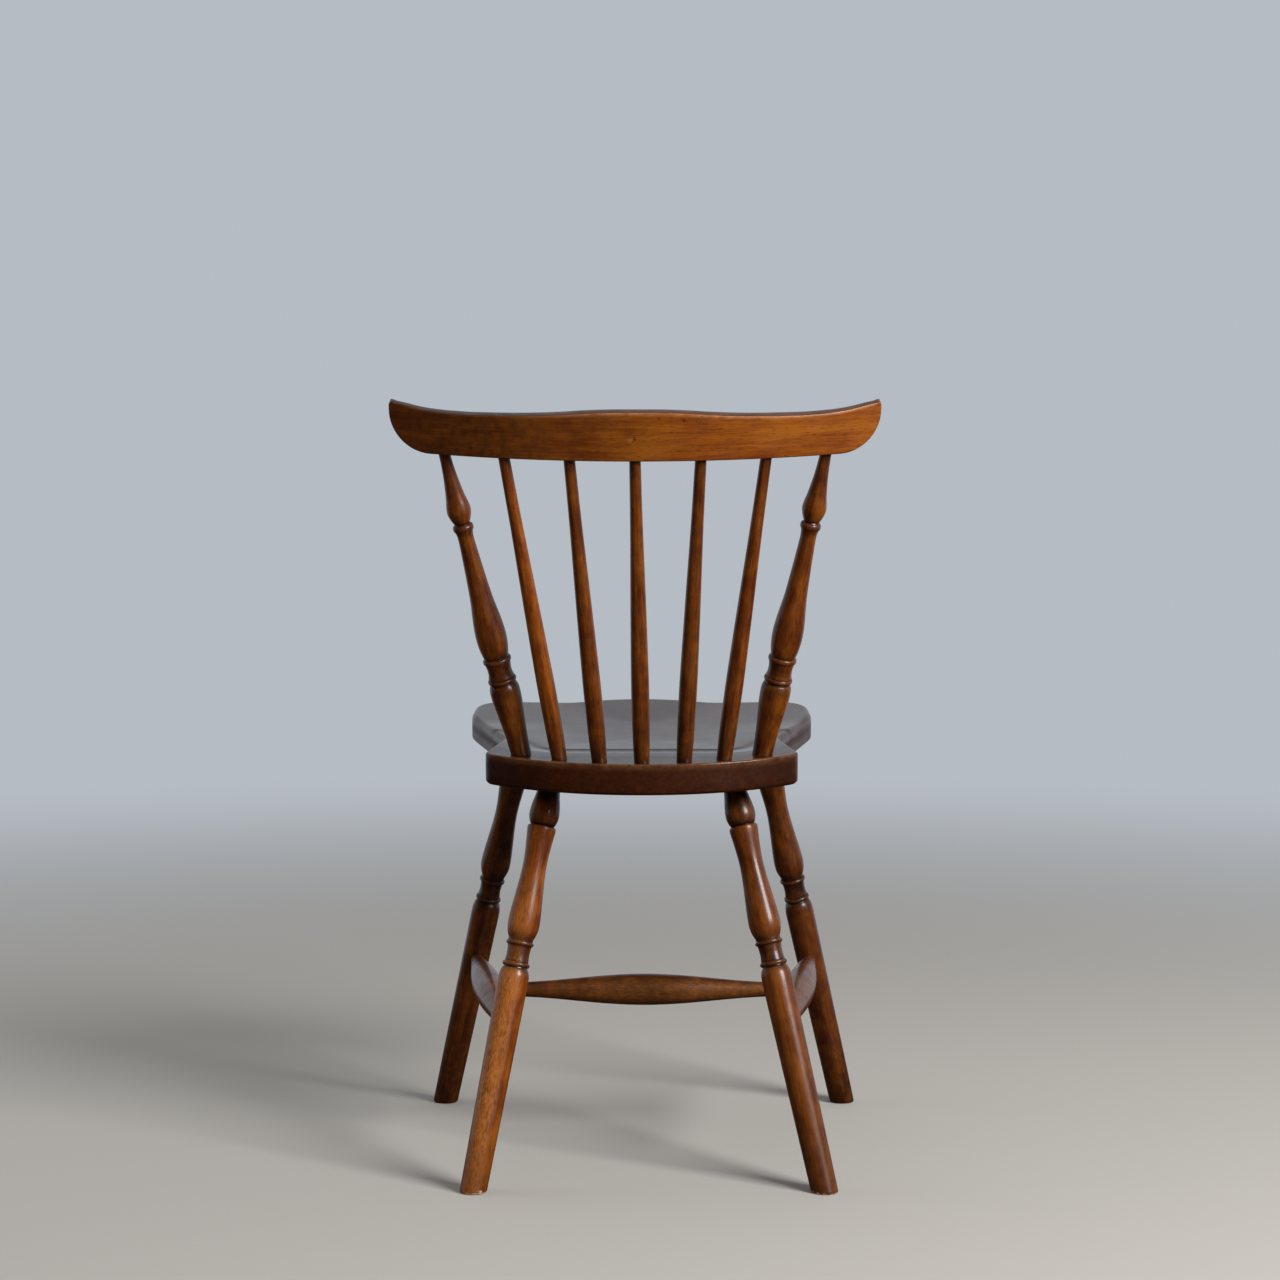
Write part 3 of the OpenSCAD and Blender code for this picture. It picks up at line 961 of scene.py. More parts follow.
@dataclass
class Stick:
    """One turned stick, its grain along its axis.

    The profile and the darkening give places in millimetres along it. The tone
    is how dark it is all over, on some sticks partly painted shade. How far it
    is made paler on the side that looks the given way, from the given
    millimetres on, is partly a bleached finish and partly painted light. A ring
    that stands full_relief proud counts as fully scuffed.
    """

    node: str
    start: Vector
    end: Vector
    profile: list[Pair]
    seed: int
    tone: float = 0.0
    grime: Sequence[Pair] = ((0, 0),)
    fading: float = 0.0
    fading_towards: tuple[float, float, float] = (0.45, 0.89, 0)
    fading_from: float = 90.0
    full_relief: float = 1.1

    def build(self) -> bpy.types.Object:
        """Turns the stick and puts it in its place.

        Returns:
            The piece, at the origin with its place in its mesh.
        """
        piece = Bench.spun(self.node + "_wood", [(s * MM, d / 2 * MM) for s, d in self.profile])
        piece.matrix_world = self.lie()
        Bench.take(piece)
        bpy.ops.object.transform_apply(location=True, rotation=True, scale=True)
        return piece

    def lie(self) -> Matrix:
        """Gives the matrix that lays the Z axis on the stick's own axis."""
        turn = (self.end - self.start).to_track_quat("Z", "Y").to_matrix().to_4x4()
        return Matrix.Translation(self.start) @ turn

    def worn_at(self) -> tuple[np.ndarray, np.ndarray]:
        """Tells how far the turning stands proud, and how deep it lies in a hollow, along the stick.

        Returns:
            Distances along it, and a number from -1 in a hollow to 1 on a rim.
        """
        along = np.array([p[0] for p in self.profile]) + np.arange(len(self.profile)) * 1e-6
        across = np.array([p[1] / 2 for p in self.profile])
        at = np.arange(along[0], along[-1], 0.25)
        radius = np.interp(at, along, across)
        reach = 12
        window = np.ones(2 * reach + 1) / (2 * reach + 1)
        wide = np.convolve(np.pad(radius, reach, mode="edge"), window, mode="valid")
        return at, np.clip((radius - wide) / self.full_relief, -1, 1)

    def dress(self, piece: bpy.types.Object) -> None:
        """Writes the grain, the wear, the bare places, the darkening and the paler side
        on the vertices; the darkening is partly painted shade and the paler side
        partly painted light.

        Args:
            piece: The turned piece.
        """
        turn = np.array(self.lie().inverted())
        places = Bench.vertices(piece)
        local = places @ turn[:3, :3].T + turn[:3, 3]
        Bench.write(piece, "grain", local + np.array([0.37, 0.61, 1.13]) * self.seed)
        along = local[:, 2] / MM
        Bench.write(piece, "worn", np.interp(along, *self.worn_at()))
        Bench.write(piece, "bare", self.bareness(places))
        # Darker all over by the tone and along the stick by the darkening pairs; the tone is on some sticks
        # partly painted shade.
        Bench.write(piece, "aged", 1 - (1 - self.tone) * (1 - by_stops(along, *self.grime)))
        # Paler on one side, from the given distance along the stick on: partly bleaching, partly painted
        # light.
        axis = np.array((self.end - self.start).normalized())
        from_start = places - np.array(self.start)
        outwards = from_start - (from_start @ axis)[:, None] * axis
        outwards /= np.maximum(np.linalg.norm(outwards, axis=1), 1e-6)[:, None]
        facing = outwards @ np.array(self.fading_towards)
        faded = np.clip((facing - 0.4) / 0.5, 0, 1) * np.clip((along - self.fading_from) / 90, 0, 1)
        Bench.write(piece, "faded", self.fading * faded)

    def bareness(self, places: np.ndarray) -> np.ndarray:
        """Tells where the finish has gone, down to bare wood."""
        return np.zeros(len(places))


@dataclass
class Leg(Stick):
    """A turned leg, sawn level at the floor, the new edge broken."""

    worn_foot: float = 0.0
    foot_round: float = 2.2 * MM
    bare_height: float = 3 * MM

    def build(self) -> bpy.types.Object:
        """Turns the leg, places it and saws its foot.

        Returns:
            The piece.
        """
        piece = super().build()
        bpy.ops.object.mode_set(mode="EDIT")
        bpy.ops.mesh.select_all(action="SELECT")
        bpy.ops.mesh.bisect(plane_co=(0, 0, 0), plane_no=(0, 0, 1), use_fill=True, clear_inner=True)
        bpy.ops.mesh.bevel(offset=self.foot_round, segments=4, affect="EDGES")
        bpy.ops.object.mode_set(mode="OBJECT")
        return piece

    def bareness(self, places: np.ndarray) -> np.ndarray:
        """Tells where the finish has gone, at the rim of the foot."""
        return self.worn_foot * np.clip(1.2 - places[:, 2] / self.bare_height, 0, 1)


@dataclass(frozen=True)
class Turnery:
    """The turner's patterns, in millimetres along a stick and across it."""

    seat_socket: float = 22
    rail_socket: float = 22
    foot: float = 27.6
    leg_tenon: float = 23
    post_base: float = 21
    spindle_base: float = 16
    top_tenon: float = 11.6
    swell: float = 34
    past_axis: float = 4

    def leg(self, length: float) -> list[Pair]:
        """Draws a leg, down from the underside of the seat.

        Args:
            length: The distance from the seat to the floor along it.

        Returns:
            Pairs of a distance along it and a diameter.
        """
        return [
            (-self.seat_socket, self.leg_tenon),
            *smooth_run([
                (5.5, self.leg_tenon), (15, 24.6), (28, 29.6), (38, 31.6), (45, 29), (49.5, 24.6)]),
            *smooth_run([
                (50.4, 28.2), (51.2, 29.5), (52.6, 30.1), (56, 29.8), (66, 27.8), (80, 25.6), (93, 25),
                (108, 26.6), (126, 29.8), (142, 32.6), (154, 33.4), (162, 31), (168.6, 26)], 6),
            *bead(173.6, 4.4, 25.6, 28.8),
            *smooth_run([(176.2, 25), (181, 24), (186, 23.7), (192.6, 25)]),
            *bead(195.8, 4.8, 25, 28.7),
            *smooth_run([(199.4, 25.4), (202, 28.6), (207, 31.2), (214, 32)]),
            *[(214 + (length - 214) * k / 24, 32 + (self.foot - 32) * k / 24) for k in range(1, 25)],
            (length + self.foot / 2, self.foot)]

    def post(self, length: float) -> list[Pair]:
        """Draws a back post, up from the top of the seat.

        Args:
            length: The distance from the seat to the rail along it.

        Returns:
            Pairs of a distance along it and a diameter.
        """
        return [
            (-self.seat_socket, self.post_base), (4, self.post_base),
            *smooth_run([
                (5, self.post_base), (30, 24.4), (58, 30.2), (72, 31.2), (77.4, 29.4), (80, 27)]),
            *bead(84.2, 4.6, 26.4, 29.6),
            *smooth_run([(87.4, 27), (92, 25), (97, 24.8), (103, 26.4)]),
            *bead(106.4, 5.4, 26, 29.4),
            *smooth_run([
                (110.4, 25.4), (114, 27.4), (122, 30.2), (134, 31.6), (147, 30), (160, 27), (176, 23.2),
                (197, 20.4), (219, 18), (236, 16.4), (243.5, 16.6), (247, 18)], 6),
            *bead(251.4, 7, 17.6, 21.1),
            *smooth_run([
                (256.2, 15.6), (260, 19.6), (268, 24.4), (275, 23.6), (284, 20), (295, 16.8),
                (308, 13.8), (320, 12.2), (length - 2, self.top_tenon)], 6),
            (length + self.rail_socket, self.top_tenon)]

    def spindle(self, length: float) -> list[Pair]:
        """Draws a plain spindle, up from the top of the seat.

        Args:
            length: The distance from the seat to the rail along it.

        Returns:
            Pairs of a distance along it and a diameter.
        """
        return [
            (-self.seat_socket, self.spindle_base), (3, self.spindle_base),
            *smooth_run([
                (3.5, self.spindle_base), (30, 17.6), (75, 18.4), (115, 17.6), (165, 16), (210, 14.3),
                (255, 12.7), (length - 2, self.top_tenon)], 10),
            (length + self.rail_socket, self.top_tenon)]

    def stretcher(self, length: float, hold: float, tenon: float, fullness: float) -> list[Pair]:
        """Draws a stretcher that swells to its middle.

        Args:
            length: The distance between the axes that hold it.
            hold: How far its ends keep the tenons' diameter.
            tenon: The tenons' diameter.
            fullness: How slowly it swells from its ends; 1 is a plain bow.

        Returns:
            Pairs of a distance along it and a diameter.
        """
        steps = 72
        swelled = [
            (hold + (length - 2 * hold) * k / steps,
             tenon + (self.swell - tenon) * math.sin(math.pi * k / steps) ** fullness)
            for k in range(steps + 1)]
        return [(-self.past_axis, tenon), *swelled, (length + self.past_axis, tenon)]


# Pairs of a distance along a stick, in millimetres, and how much darker it is there: at its ends and round
# its rings
POST_DARKENING = ((0, 0.7), (6, 0.4), (30, 0.15), (60, 0.1), (70, 0.4), (78, 0.5), (112, 0.45), (119, 0.1),
              (240, 0.05), (246, 0.5), (257, 0.5), (262, 0.05), (300, 0.25), (330, 0.55))
LEG_DARKENING = ((5, 0.85), (22, 0.8), (32, 0.25), (42, 0.35), (49, 0.8), (52, 0.1), (160, 0.05), (167, 0.5),
             (172, 0.6), (200, 0.55), (206, 0.1), (214, 0), (350, 0), (385, 0.15), (410, 0.35))
SPINDLE_DARKENING = ((0, 0.85), (5, 0.55), (28, 0.35), (75, 0.12), (130, 0), (250, 0), (300, 0.12), (322, 0.5))
# How dark each spindle is all over, from the sitter's left, given one by one; the spread is partly painted
# shade.
SPINDLE_TONES = (0.0, 0.36, 0.34, 0.42, 0.26)


# ---- the seat ------------------------------------------------------------------


@dataclass
class Seat:
    """The saddled seat, a slab with a hollow and a gutter behind it.

    Its sizes are in millimetres, in its own frame, whose y runs forwards. The
    gutter's fall gives its depth by the distance in front of its line, and
    its rows are the distances at which the top's rows of points lie there.
    The underside's pairs are a height over it and how far it is cut inwards.
    """

    plan: ChairPlan
    depth: float = 392
    half_width: float = 190.5
    waist: float = 150.5
    ear: float = 160
    rear_radius: float = 243
    hollow: float = 7.5
    hollow_radius: float = 267
    hollow_middle: float = 235
    ridge_slope: float = math.radians(3.7)
    ridge_fall: float = 1400
    gutter: float = 64
    gutter_bend: float = 118
    gutter_end: Pair = (170, 182.3)
    gutter_fall: tuple[Pair, ...] = (
        (-1, 0), (2, 0.15), (22, 2.25), (24, 2.3), (30, 1.65), (60, 3.2), (120, 6.2))
    gutter_rows: tuple[float, ...] = (
        -6, -3.5, -1.8, -0.6, 0.6, 1.8, 3, 5, 7.5, 10.5, 13.5, 16.5, 19, 21, 22.5, 24, 25.5, 27, 28.5,
        30, 32, 35)
    rows_behind: int = 22
    top_rounding: tuple[Pair, ...] = ((40, 1.8), (80, 2.5), (120, 4), (160, 6), (350, 6), (392, 4.6))
    underside: tuple[Pair, ...] = ((4, 0), (2.9, 0.2), (2.3, 0.6), (0.8, 2.1), (0.3, 2.7), (0, 3.8))
    thickness: float = 32.5
    columns: int = 112
    rows: int = 104
    edge_steps: int = 6

    def half_corners(self) -> list[tuple[float, float, float]]:
        """Lists the corners of one half of the outline.

        Returns:
            Each corner's x, y and radius, from the rear to the front.
        """
        return [
            (86.6, 0, self.rear_radius),
            (self.ear + 4, 60, 18),
            (self.waist - 4, 150, 44),
            (self.half_width + 0.6, 305, 110),
            (self.half_width - 3, self.depth - 5, 42),
            (40, self.depth, 600)]

    def outline(self) -> np.ndarray:
        """Draws the outline from the middle of the rear edge, evenly and finely.

        Returns:
            Points along the right-hand half, to the middle of the front edge.
        """
        half = self.half_corners()
        corners = half + [(-x, y, r) for x, y, r in reversed(half)]
        points = np.array(rounded(corners, 48))
        points = points[points[:, 0] >= 0]
        start = int(np.argmin(points[:, 0] + 1000 * (points[:, 1] > 100)))
        points = np.roll(points, -start, axis=0)
        return evenly(np.vstack([[0, points[0, 1]], points, [0, points[-1, 1]]]), 1600)

    def gutter_line(self) -> np.ndarray:
        """Draws the gutter, the line where the hollow begins.

        Returns:
            Its points, from the left-hand end to the right-hand one.
        """
        steps = 40
        bends = rounded(
            [(0, self.gutter, 1), (self.gutter_bend, self.gutter, 60), (*self.gutter_end, 1)], steps)
        right = np.array(bends[steps + 1:2 * (steps + 1)] + [self.gutter_end])
        return np.vstack([right[::-1] * (-1, 1), right])

    def past_gutter(self, places: np.ndarray) -> np.ndarray:
        """Measures how far places are in front of the gutter.

        Args:
            places: Rows of x and y on the seat.

        Returns:
            Their distances from it, negative behind it.
        """
        line = self.gutter_line()
        best = np.full(len(places), 1e9)
        for a, b in zip(line, line[1:]):
            span = b - a
            t = np.clip(((places - a) @ span) / (span @ span), 0, 1)
            best = np.minimum(best, np.linalg.norm(places - (a + t[:, None] * span), axis=1))
        right = line[len(line) // 2:]
        return np.where(places[:, 1] > np.interp(np.abs(places[:, 0]), *right.T), best, -best)

    def height(self, places: np.ndarray) -> np.ndarray:
        """Gives the top's height at places on the seat.

        Args:
            places: Rows of x and y on the seat.

        Returns:
            Their heights over the flat deck, none of them above it.
        """
        x, y = places[:, 0], places[:, 1]
        bowl = -self.hollow * (1 - (x ** 2 + (y - self.hollow_middle) ** 2) / self.hollow_radius ** 2)
        ridge = -(self.depth - y) * math.tan(self.ridge_slope) - x ** 2 / self.ridge_fall
        soft = 1.2
        body = np.maximum(bowl, ridge) + soft * np.exp(-np.abs(bowl - ridge) / soft) * 0.35
        past = self.past_gutter(places)
        t = np.clip((past - 30) / 90, 0, 1)
        ease = t * t * (3 - 2 * t)
        return np.minimum(np.minimum(body, 0) * ease - by_stops(past, *self.gutter_fall) * (1 - ease), 0)

    def face_points(self) -> tuple[np.ndarray, np.ndarray, np.ndarray]:
        """Lays out the top's points, in rows that lie close together at the gutter.

        Returns:
            The grid of points, its rim's outward directions, and its rim's edge radii.
        """
        half = self.outline()
        out = outward(half)
        rounding = by_stops(half[:, 1], *self.top_rounding)
        inner = half - out * rounding[:, None]
        ear = int(np.argmax(half[:700, 0]))
        front = int(np.argmax(half[:, 0] + half[:, 1] * 1.2))
        across = self.columns // 2
        rear_at = np.linspace(0, ear, across + 1)
        side_at = np.linspace(ear, front, self.rows + 1)
        front_at = np.linspace(len(half) - 1, front, across + 1)
        rear, fore = picked(inner, rear_at), picked(inner, front_at)
        shares = np.linspace(0, 1, self.rows + 1)
        v = np.linspace(0, 1, self.rows * 40 + 1)
        middle = np.c_[np.zeros(len(v)), rear[0, 1] + (fore[0, 1] - rear[0, 1]) * v]
        patch = Patch(rear, fore, middle, picked(inner, np.interp(v, shares, side_at)))
        near = np.array(self.gutter_rows)
        after = self.rows + 1 - self.rows_behind - len(near)
        grid = np.zeros((self.rows + 1, across + 1, 2))
        for number in range(across + 1):
            column = patch.column(number)
            steps = lengths(column)
            at = steps[int(np.argmax(self.past_gutter(column) > 0))]
            wanted = np.r_[np.linspace(0, at + near[0], self.rows_behind + 1)[:-1], at + near,
                           np.linspace(at + near[-1], steps[-1], after + 1)[1:]]
            grid[:, number] = picked(column, wanted, steps)
        side_rows = np.interp(np.interp(wanted, steps, v), shares, side_at)
        rim_at, direction = all_round(out, rear_at, side_rows, front_at)
        return both_halves(grid), direction, np.interp(rim_at, np.arange(len(half)), rounding)

    def build(self) -> bpy.types.Object:
        """Models the seat: its top, its rounded edge and its chamfered underside.

        Returns:
            The piece.
        """
        grid, direction, radius = self.face_points()
        rows, columns = grid.shape[:2]
        flat = grid.reshape(-1, 2)
        heights = self.height(flat).reshape(rows, columns)

        def place(xy: np.ndarray, z: float) -> Vector:
            """Turns a place on the seat into the chair's frame."""
            return self.plan.on_seat(xy[0] * MM, xy[1] * MM, z * MM)

        face = [[place(grid[r, c], heights[r, c]) for c in range(columns)] for r in range(rows)]
        rim_xy = np.array(Bench.rim([[tuple(p) for p in row] for row in grid]))
        rim_z = np.array(Bench.rim([list(row) for row in heights]))
        rings = []
        for k in range(1, self.edge_steps + 1):
            angle = math.pi / 2 * k / self.edge_steps
            rings.append([
                place(xy + out * r * math.sin(angle), z - r * (1 - math.cos(angle)))
                for xy, out, r, z in zip(rim_xy, direction, radius, rim_z)])
        edge = rim_xy + direction * radius[:, None]
        for down in (0.35, 0.7):
            rings.append([
                place(xy, (z - r) * (1 - down) + (self.underside[0][0] - self.thickness) * down)
                for xy, z, r in zip(edge, rim_z, radius)])
        for up, inwards in self.underside:
            rings.append([
                place(xy - out * inwards, up - self.thickness) for xy, out in zip(edge, direction)])
        piece = Bench.slab("seat_wood", face, rings, None)
        Bench.finish(piece, 50)
        return piece

    def dress(self, piece: bpy.types.Object) -> None:
        """Writes the grain, the wear, the stains and the smoothness on the vertices;
        the pale line on the top's rear edge is partly wear, partly a painted highlight.

        Args:
            piece: The seat.
        """
        places = Bench.vertices(piece)
        across, forwards, up = measured(places, self.plan.on_seat(0, 0, 0), self.plan.seat_slope)
        Bench.write(piece, "grain", np.c_[across, up, forwards] + (3.1, 5.3, 0.7))
        across, ahead, up = across / MM, forwards / MM, up / MM
        low = by_stops(ahead, (60, -3), (110, -13))
        top = np.clip((up - low) / by_stops(ahead, (60, 1.5), (110, 5)), 0, 1)
        from_rim = self.rear_radius - np.hypot(across, ahead - self.rear_radius)
        # A pale line along the top's rear edge: partly wear, partly a painted highlight.
        Bench.write(piece, "worn", 0.9 * top * np.clip((5 - from_rim) / 3, 0, 1) * (ahead < 60))
        Bench.write_nothing(piece, "bare", "faded")
        rear = (1 - top) * np.clip((85 - ahead) / 20, 0, 1)
        stained = by_stops(
            -across, (-150, 0.35), (-100, 0.25), (-60, 0.1), (60, 0.05), (110, 0.2), (150, 0.4))
        Bench.write(piece, "aged", 0.3 + (stained - 0.3) * rear)
        band = (by_stops(up, (-22, 0), (-14, 0.8), (-8, 0.9), (-5, 0))
                * by_stops(ahead, (90, 0), (130, 1), (250, 1), (330, 0.2)))
        flank = by_stops(ahead, (60, 0.2), (110, 0.35)) - band
        past = self.past_gutter(np.c_[across, ahead])
        shine = by_stops(past, (-16, 0.85), (-10, 1.3), (18, 1.3), (23, 0.8), (30, 1.05))
        Bench.write(piece, "smooth", flank + (shine - flank) * top)


# ---- the crest rail ------------------------------------------------------------


@dataclass
class CrestRail:
    """The curved crest rail, with its waved top edge and swept-up ends.

    Its sizes are in millimetres, in the frame of its unrolled face.
    """

    plan: ChairPlan
    width: float = 491.5
    height: float = 49.6
    thickness: float = 21
    wave: float = 7.2
    front_round: float = 6.5
    end_radius: float = 41.5
    tip_radius: float = 3.2
    columns: int = 150
    rows: int = 12
    edge_steps: int = 6

    def top_run(self) -> np.ndarray:
        """Draws the right-hand half of the top edge.

        Returns:
            Its points, from the middle outwards.
        """
        dips = ((0, 0), (25, 0.02), (50, 0.18), (75, 0.46), (100, 0.69), (125, 0.84), (145, 0.93), (165, 1),
                (185, 0.97), (200, 0.86), (215, 0.64), (230, 0.26), (246, -0.08))
        scale = self.width / 492
        return np.array(smooth_run([(x * scale, self.height - self.wave * dip) for x, dip in dips], 12))

    def half_outline(self) -> tuple[np.ndarray, int]:
        """Draws the right-hand half from the bottom's middle to the top's middle.

        Returns:
            The points, and the number of the one in the middle of the end.
        """
        half = self.width / 2
        top = self.top_run()
        tip = top[-1, 1]
        end, small = self.end_radius, self.tip_radius
        lower = arc((half - end, end), end, np.linspace(-math.pi / 2, 0, 60))
        corner = arc((half - small, tip - small), small, np.linspace(0, math.radians(100), 12))
        edge = top[top[:, 0] < half - small - 1.2][::-1]
        fine = evenly(np.vstack([[(0, 0)], lower, corner, edge]), 2400)
        return fine, int(np.argmax(fine[:, 0] * 2 + fine[:, 1] * 0.5))

    def face_points(self) -> tuple[np.ndarray, np.ndarray, np.ndarray]:
        """Lays out the face's points.

        Returns:
            The grid of points, its rim's outward directions, and its rim's edge radii.
        """
        fine, end = self.half_outline()
        out = outward(fine)
        out[0], out[-1] = (0, -1), (0, 1)
        numbers = np.arange(len(fine))
        tip = float(np.argmax(fine[:, 0] + fine[:, 1]))
        radius = by_stops(numbers, (tip + 60, 1.6), (tip + 400, 1.7))
        inner = fine - out * radius[:, None]
        across = self.columns // 2
        ease = 1 - (1 - np.linspace(0, 1, across + 1)) ** 1.15
        low_at = (end - 150) * ease
        high_at = len(fine) - 1 - (len(fine) - 1 - tip) * ease
        side_at = np.linspace(end - 150, tip, self.rows + 1)
        low, high = picked(inner, low_at), picked(inner, high_at)
        middle = low[0] + (high[0] - low[0]) * np.linspace(0, 1, self.rows + 1)[:, None]
        patch = Patch(low, high, middle, picked(inner, side_at))
        grid = np.stack([patch.column(number) for number in range(across + 1)], axis=1)
        rim_at, direction = all_round(out, low_at, side_at, high_at)
        return both_halves(grid), direction, np.interp(rim_at, numbers, radius)

    @staticmethod
    def pulled_in(grid: np.ndarray, rim: np.ndarray) -> np.ndarray:
        """Moves a grid's rim to new places, and its columns with it.

        Args:
            grid: The grid's points.
            rim: The new place of each point of its rim.

        Returns:
            The new grid.
        """
        rows, columns = grid.shape[:2]
        low, high = rim[:columns], rim[columns + rows - 2:2 * columns + rows - 2][::-1]
        share = np.linspace(0, 1, rows)[:, None, None]
        new = grid + (low - grid[0]) * (1 - share) + (high - grid[-1]) * share
        new[1:-1, -1] = rim[columns:columns + rows - 2]
        new[1:-1, 0] = rim[2 * columns + rows - 2:][::-1]
        return new

    def marks(self) -> tuple[Mark, ...]:
        """Lists the small marks on the rear face.

        Returns:
            The marks, in the chair's frame.
        """
        def spot(across: float, up: float) -> tuple[float, float, float]:
            """Turns a place on the rear face into the chair's frame."""
            across *= MM
            sag = self.plan.rail_sag(across)
            return tuple(self.plan.rail_point(across, sag - self.thickness / 2 * MM, up * MM))

        return (
            Mark(spot(5.4, 21.4), 3.0 * MM, 0.14, pale=True),
            Mark(spot(3.2, 22.6), 2.6 * MM, 0.12, pale=True),
            Mark(spot(0.6, 23.0), 2.2 * MM, 0.5), Mark(spot(2.2, 20.4), 1.6 * MM, 0.35),
            Mark(spot(-48.2, 41.0), 2.0 * MM, 0.65), Mark(spot(-66, 45.0), 1.2 * MM, 0.6))

    def build(self) -> bpy.types.Object:
        """Models the rail: its rear face, its rounded edge and its front face.

        Returns:
            The piece.
        """
        grid, direction, radius = self.face_points()
        half = self.thickness / 2

        def place(xy: Sequence[float], forwards: float) -> Vector:
            """Turns a place on the unrolled face, and its depth, into the chair's frame."""
            x = xy[0] * MM
            slant = math.cos(math.asin(x / self.plan.rail_radius))
            return self.plan.rail_point(x, self.plan.rail_sag(x) + forwards * MM / slant, xy[1] * MM)

        rear = [[place(p, -half) for p in row] for row in grid]
        rim = np.array(Bench.rim([[tuple(p) for p in row] for row in grid]))
        rings = []
        for k in range(1, self.edge_steps + 1):
            angle = math.pi / 2 * k / self.edge_steps
            rings.append([place(xy + out * r * math.sin(angle), -half + r * (1 - math.cos(angle)))
                          for xy, out, r in zip(rim, direction, radius)])
        edge = rim + direction * radius[:, None]
        rounding = self.front_round * (1 + 0.6 * np.clip(np.abs(edge[:, 0]) / 60 - 3, 0, 1))
        front_radius = radius + (rounding - radius) * np.clip(direction[:, 1], 0, 1) ** 2
        front_rim = edge - direction * front_radius[:, None]
        for share in (0.33, 0.67):
            rings.append([place(xy, (-half + r) * (1 - share) + (half - q) * share)
                          for xy, r, q in zip(edge, radius, front_radius)])
        for k in range(self.edge_steps + 1):
            angle = math.pi / 2 * k / self.edge_steps
            rings.append([place(xy + out * q * math.cos(angle), half - q * (1 - math.sin(angle)))
                          for xy, out, q in zip(front_rim, direction, front_radius)])
        front = [[place(p, half) for p in row] for row in self.pulled_in(grid, front_rim)]
        piece = Bench.slab("crest_rail_wood", rear, rings, front)
        Bench.finish(piece, 50)
        return piece

    def dress(self, piece: bpy.types.Object) -> None:
        """Writes the grain, a painted highlight along the rear face's top edge, and
        painted shade on the top face, along the bottom edge and towards the sitter's
        left, on the vertices.

        Args:
            piece: The rail.
        """
        places = Bench.vertices(piece)
        across, forwards, up = measured(places, self.plan.rail_point(0, 0, 0), self.plan.lean)
        depth = forwards - (self.plan.rail_radius - np.sqrt(self.plan.rail_radius ** 2 - across ** 2))
        Bench.write(piece, "grain", np.c_[up, depth, across] + (1.9, 2.3, 4.1))
        across, depth, up = across / MM, depth / MM, up / MM
        below = np.interp(np.abs(across), *self.top_run().T) - up
        # A painted highlight along the rear face's top edge, strongest towards the sitter's right.
        painted_arris_highlight = by_stops(across, (-242, 0), (-236, 0.9), (40, 0.8), (150, 0.15))
        rear = depth < 2.2 - self.thickness / 2
        worn = np.where(rear & (below < 3) & (below > -0.5), painted_arris_highlight, 0.0)
        # Painted shade: the top face is made dark, and a dark line runs along the bottom edge.
        Bench.write(piece, "worn", np.where(below < 0.3, -0.5, worn) - 0.35 * np.exp(-(up / 1.2) ** 2))
        Bench.write_nothing(piece, "bare", "faded")
        # Painted shade: the rail gets darker towards the sitter's left.
        Bench.write(piece, "aged", by_stops(
            across, (-60, 0), (-18, 0.15), (22, 0.29), (72, 0.42), (122, 0.65), (172, 0.7), (212, 0.64),
            (240, 0.55)))


# ---- the whole chair -----------------------------------------------------------


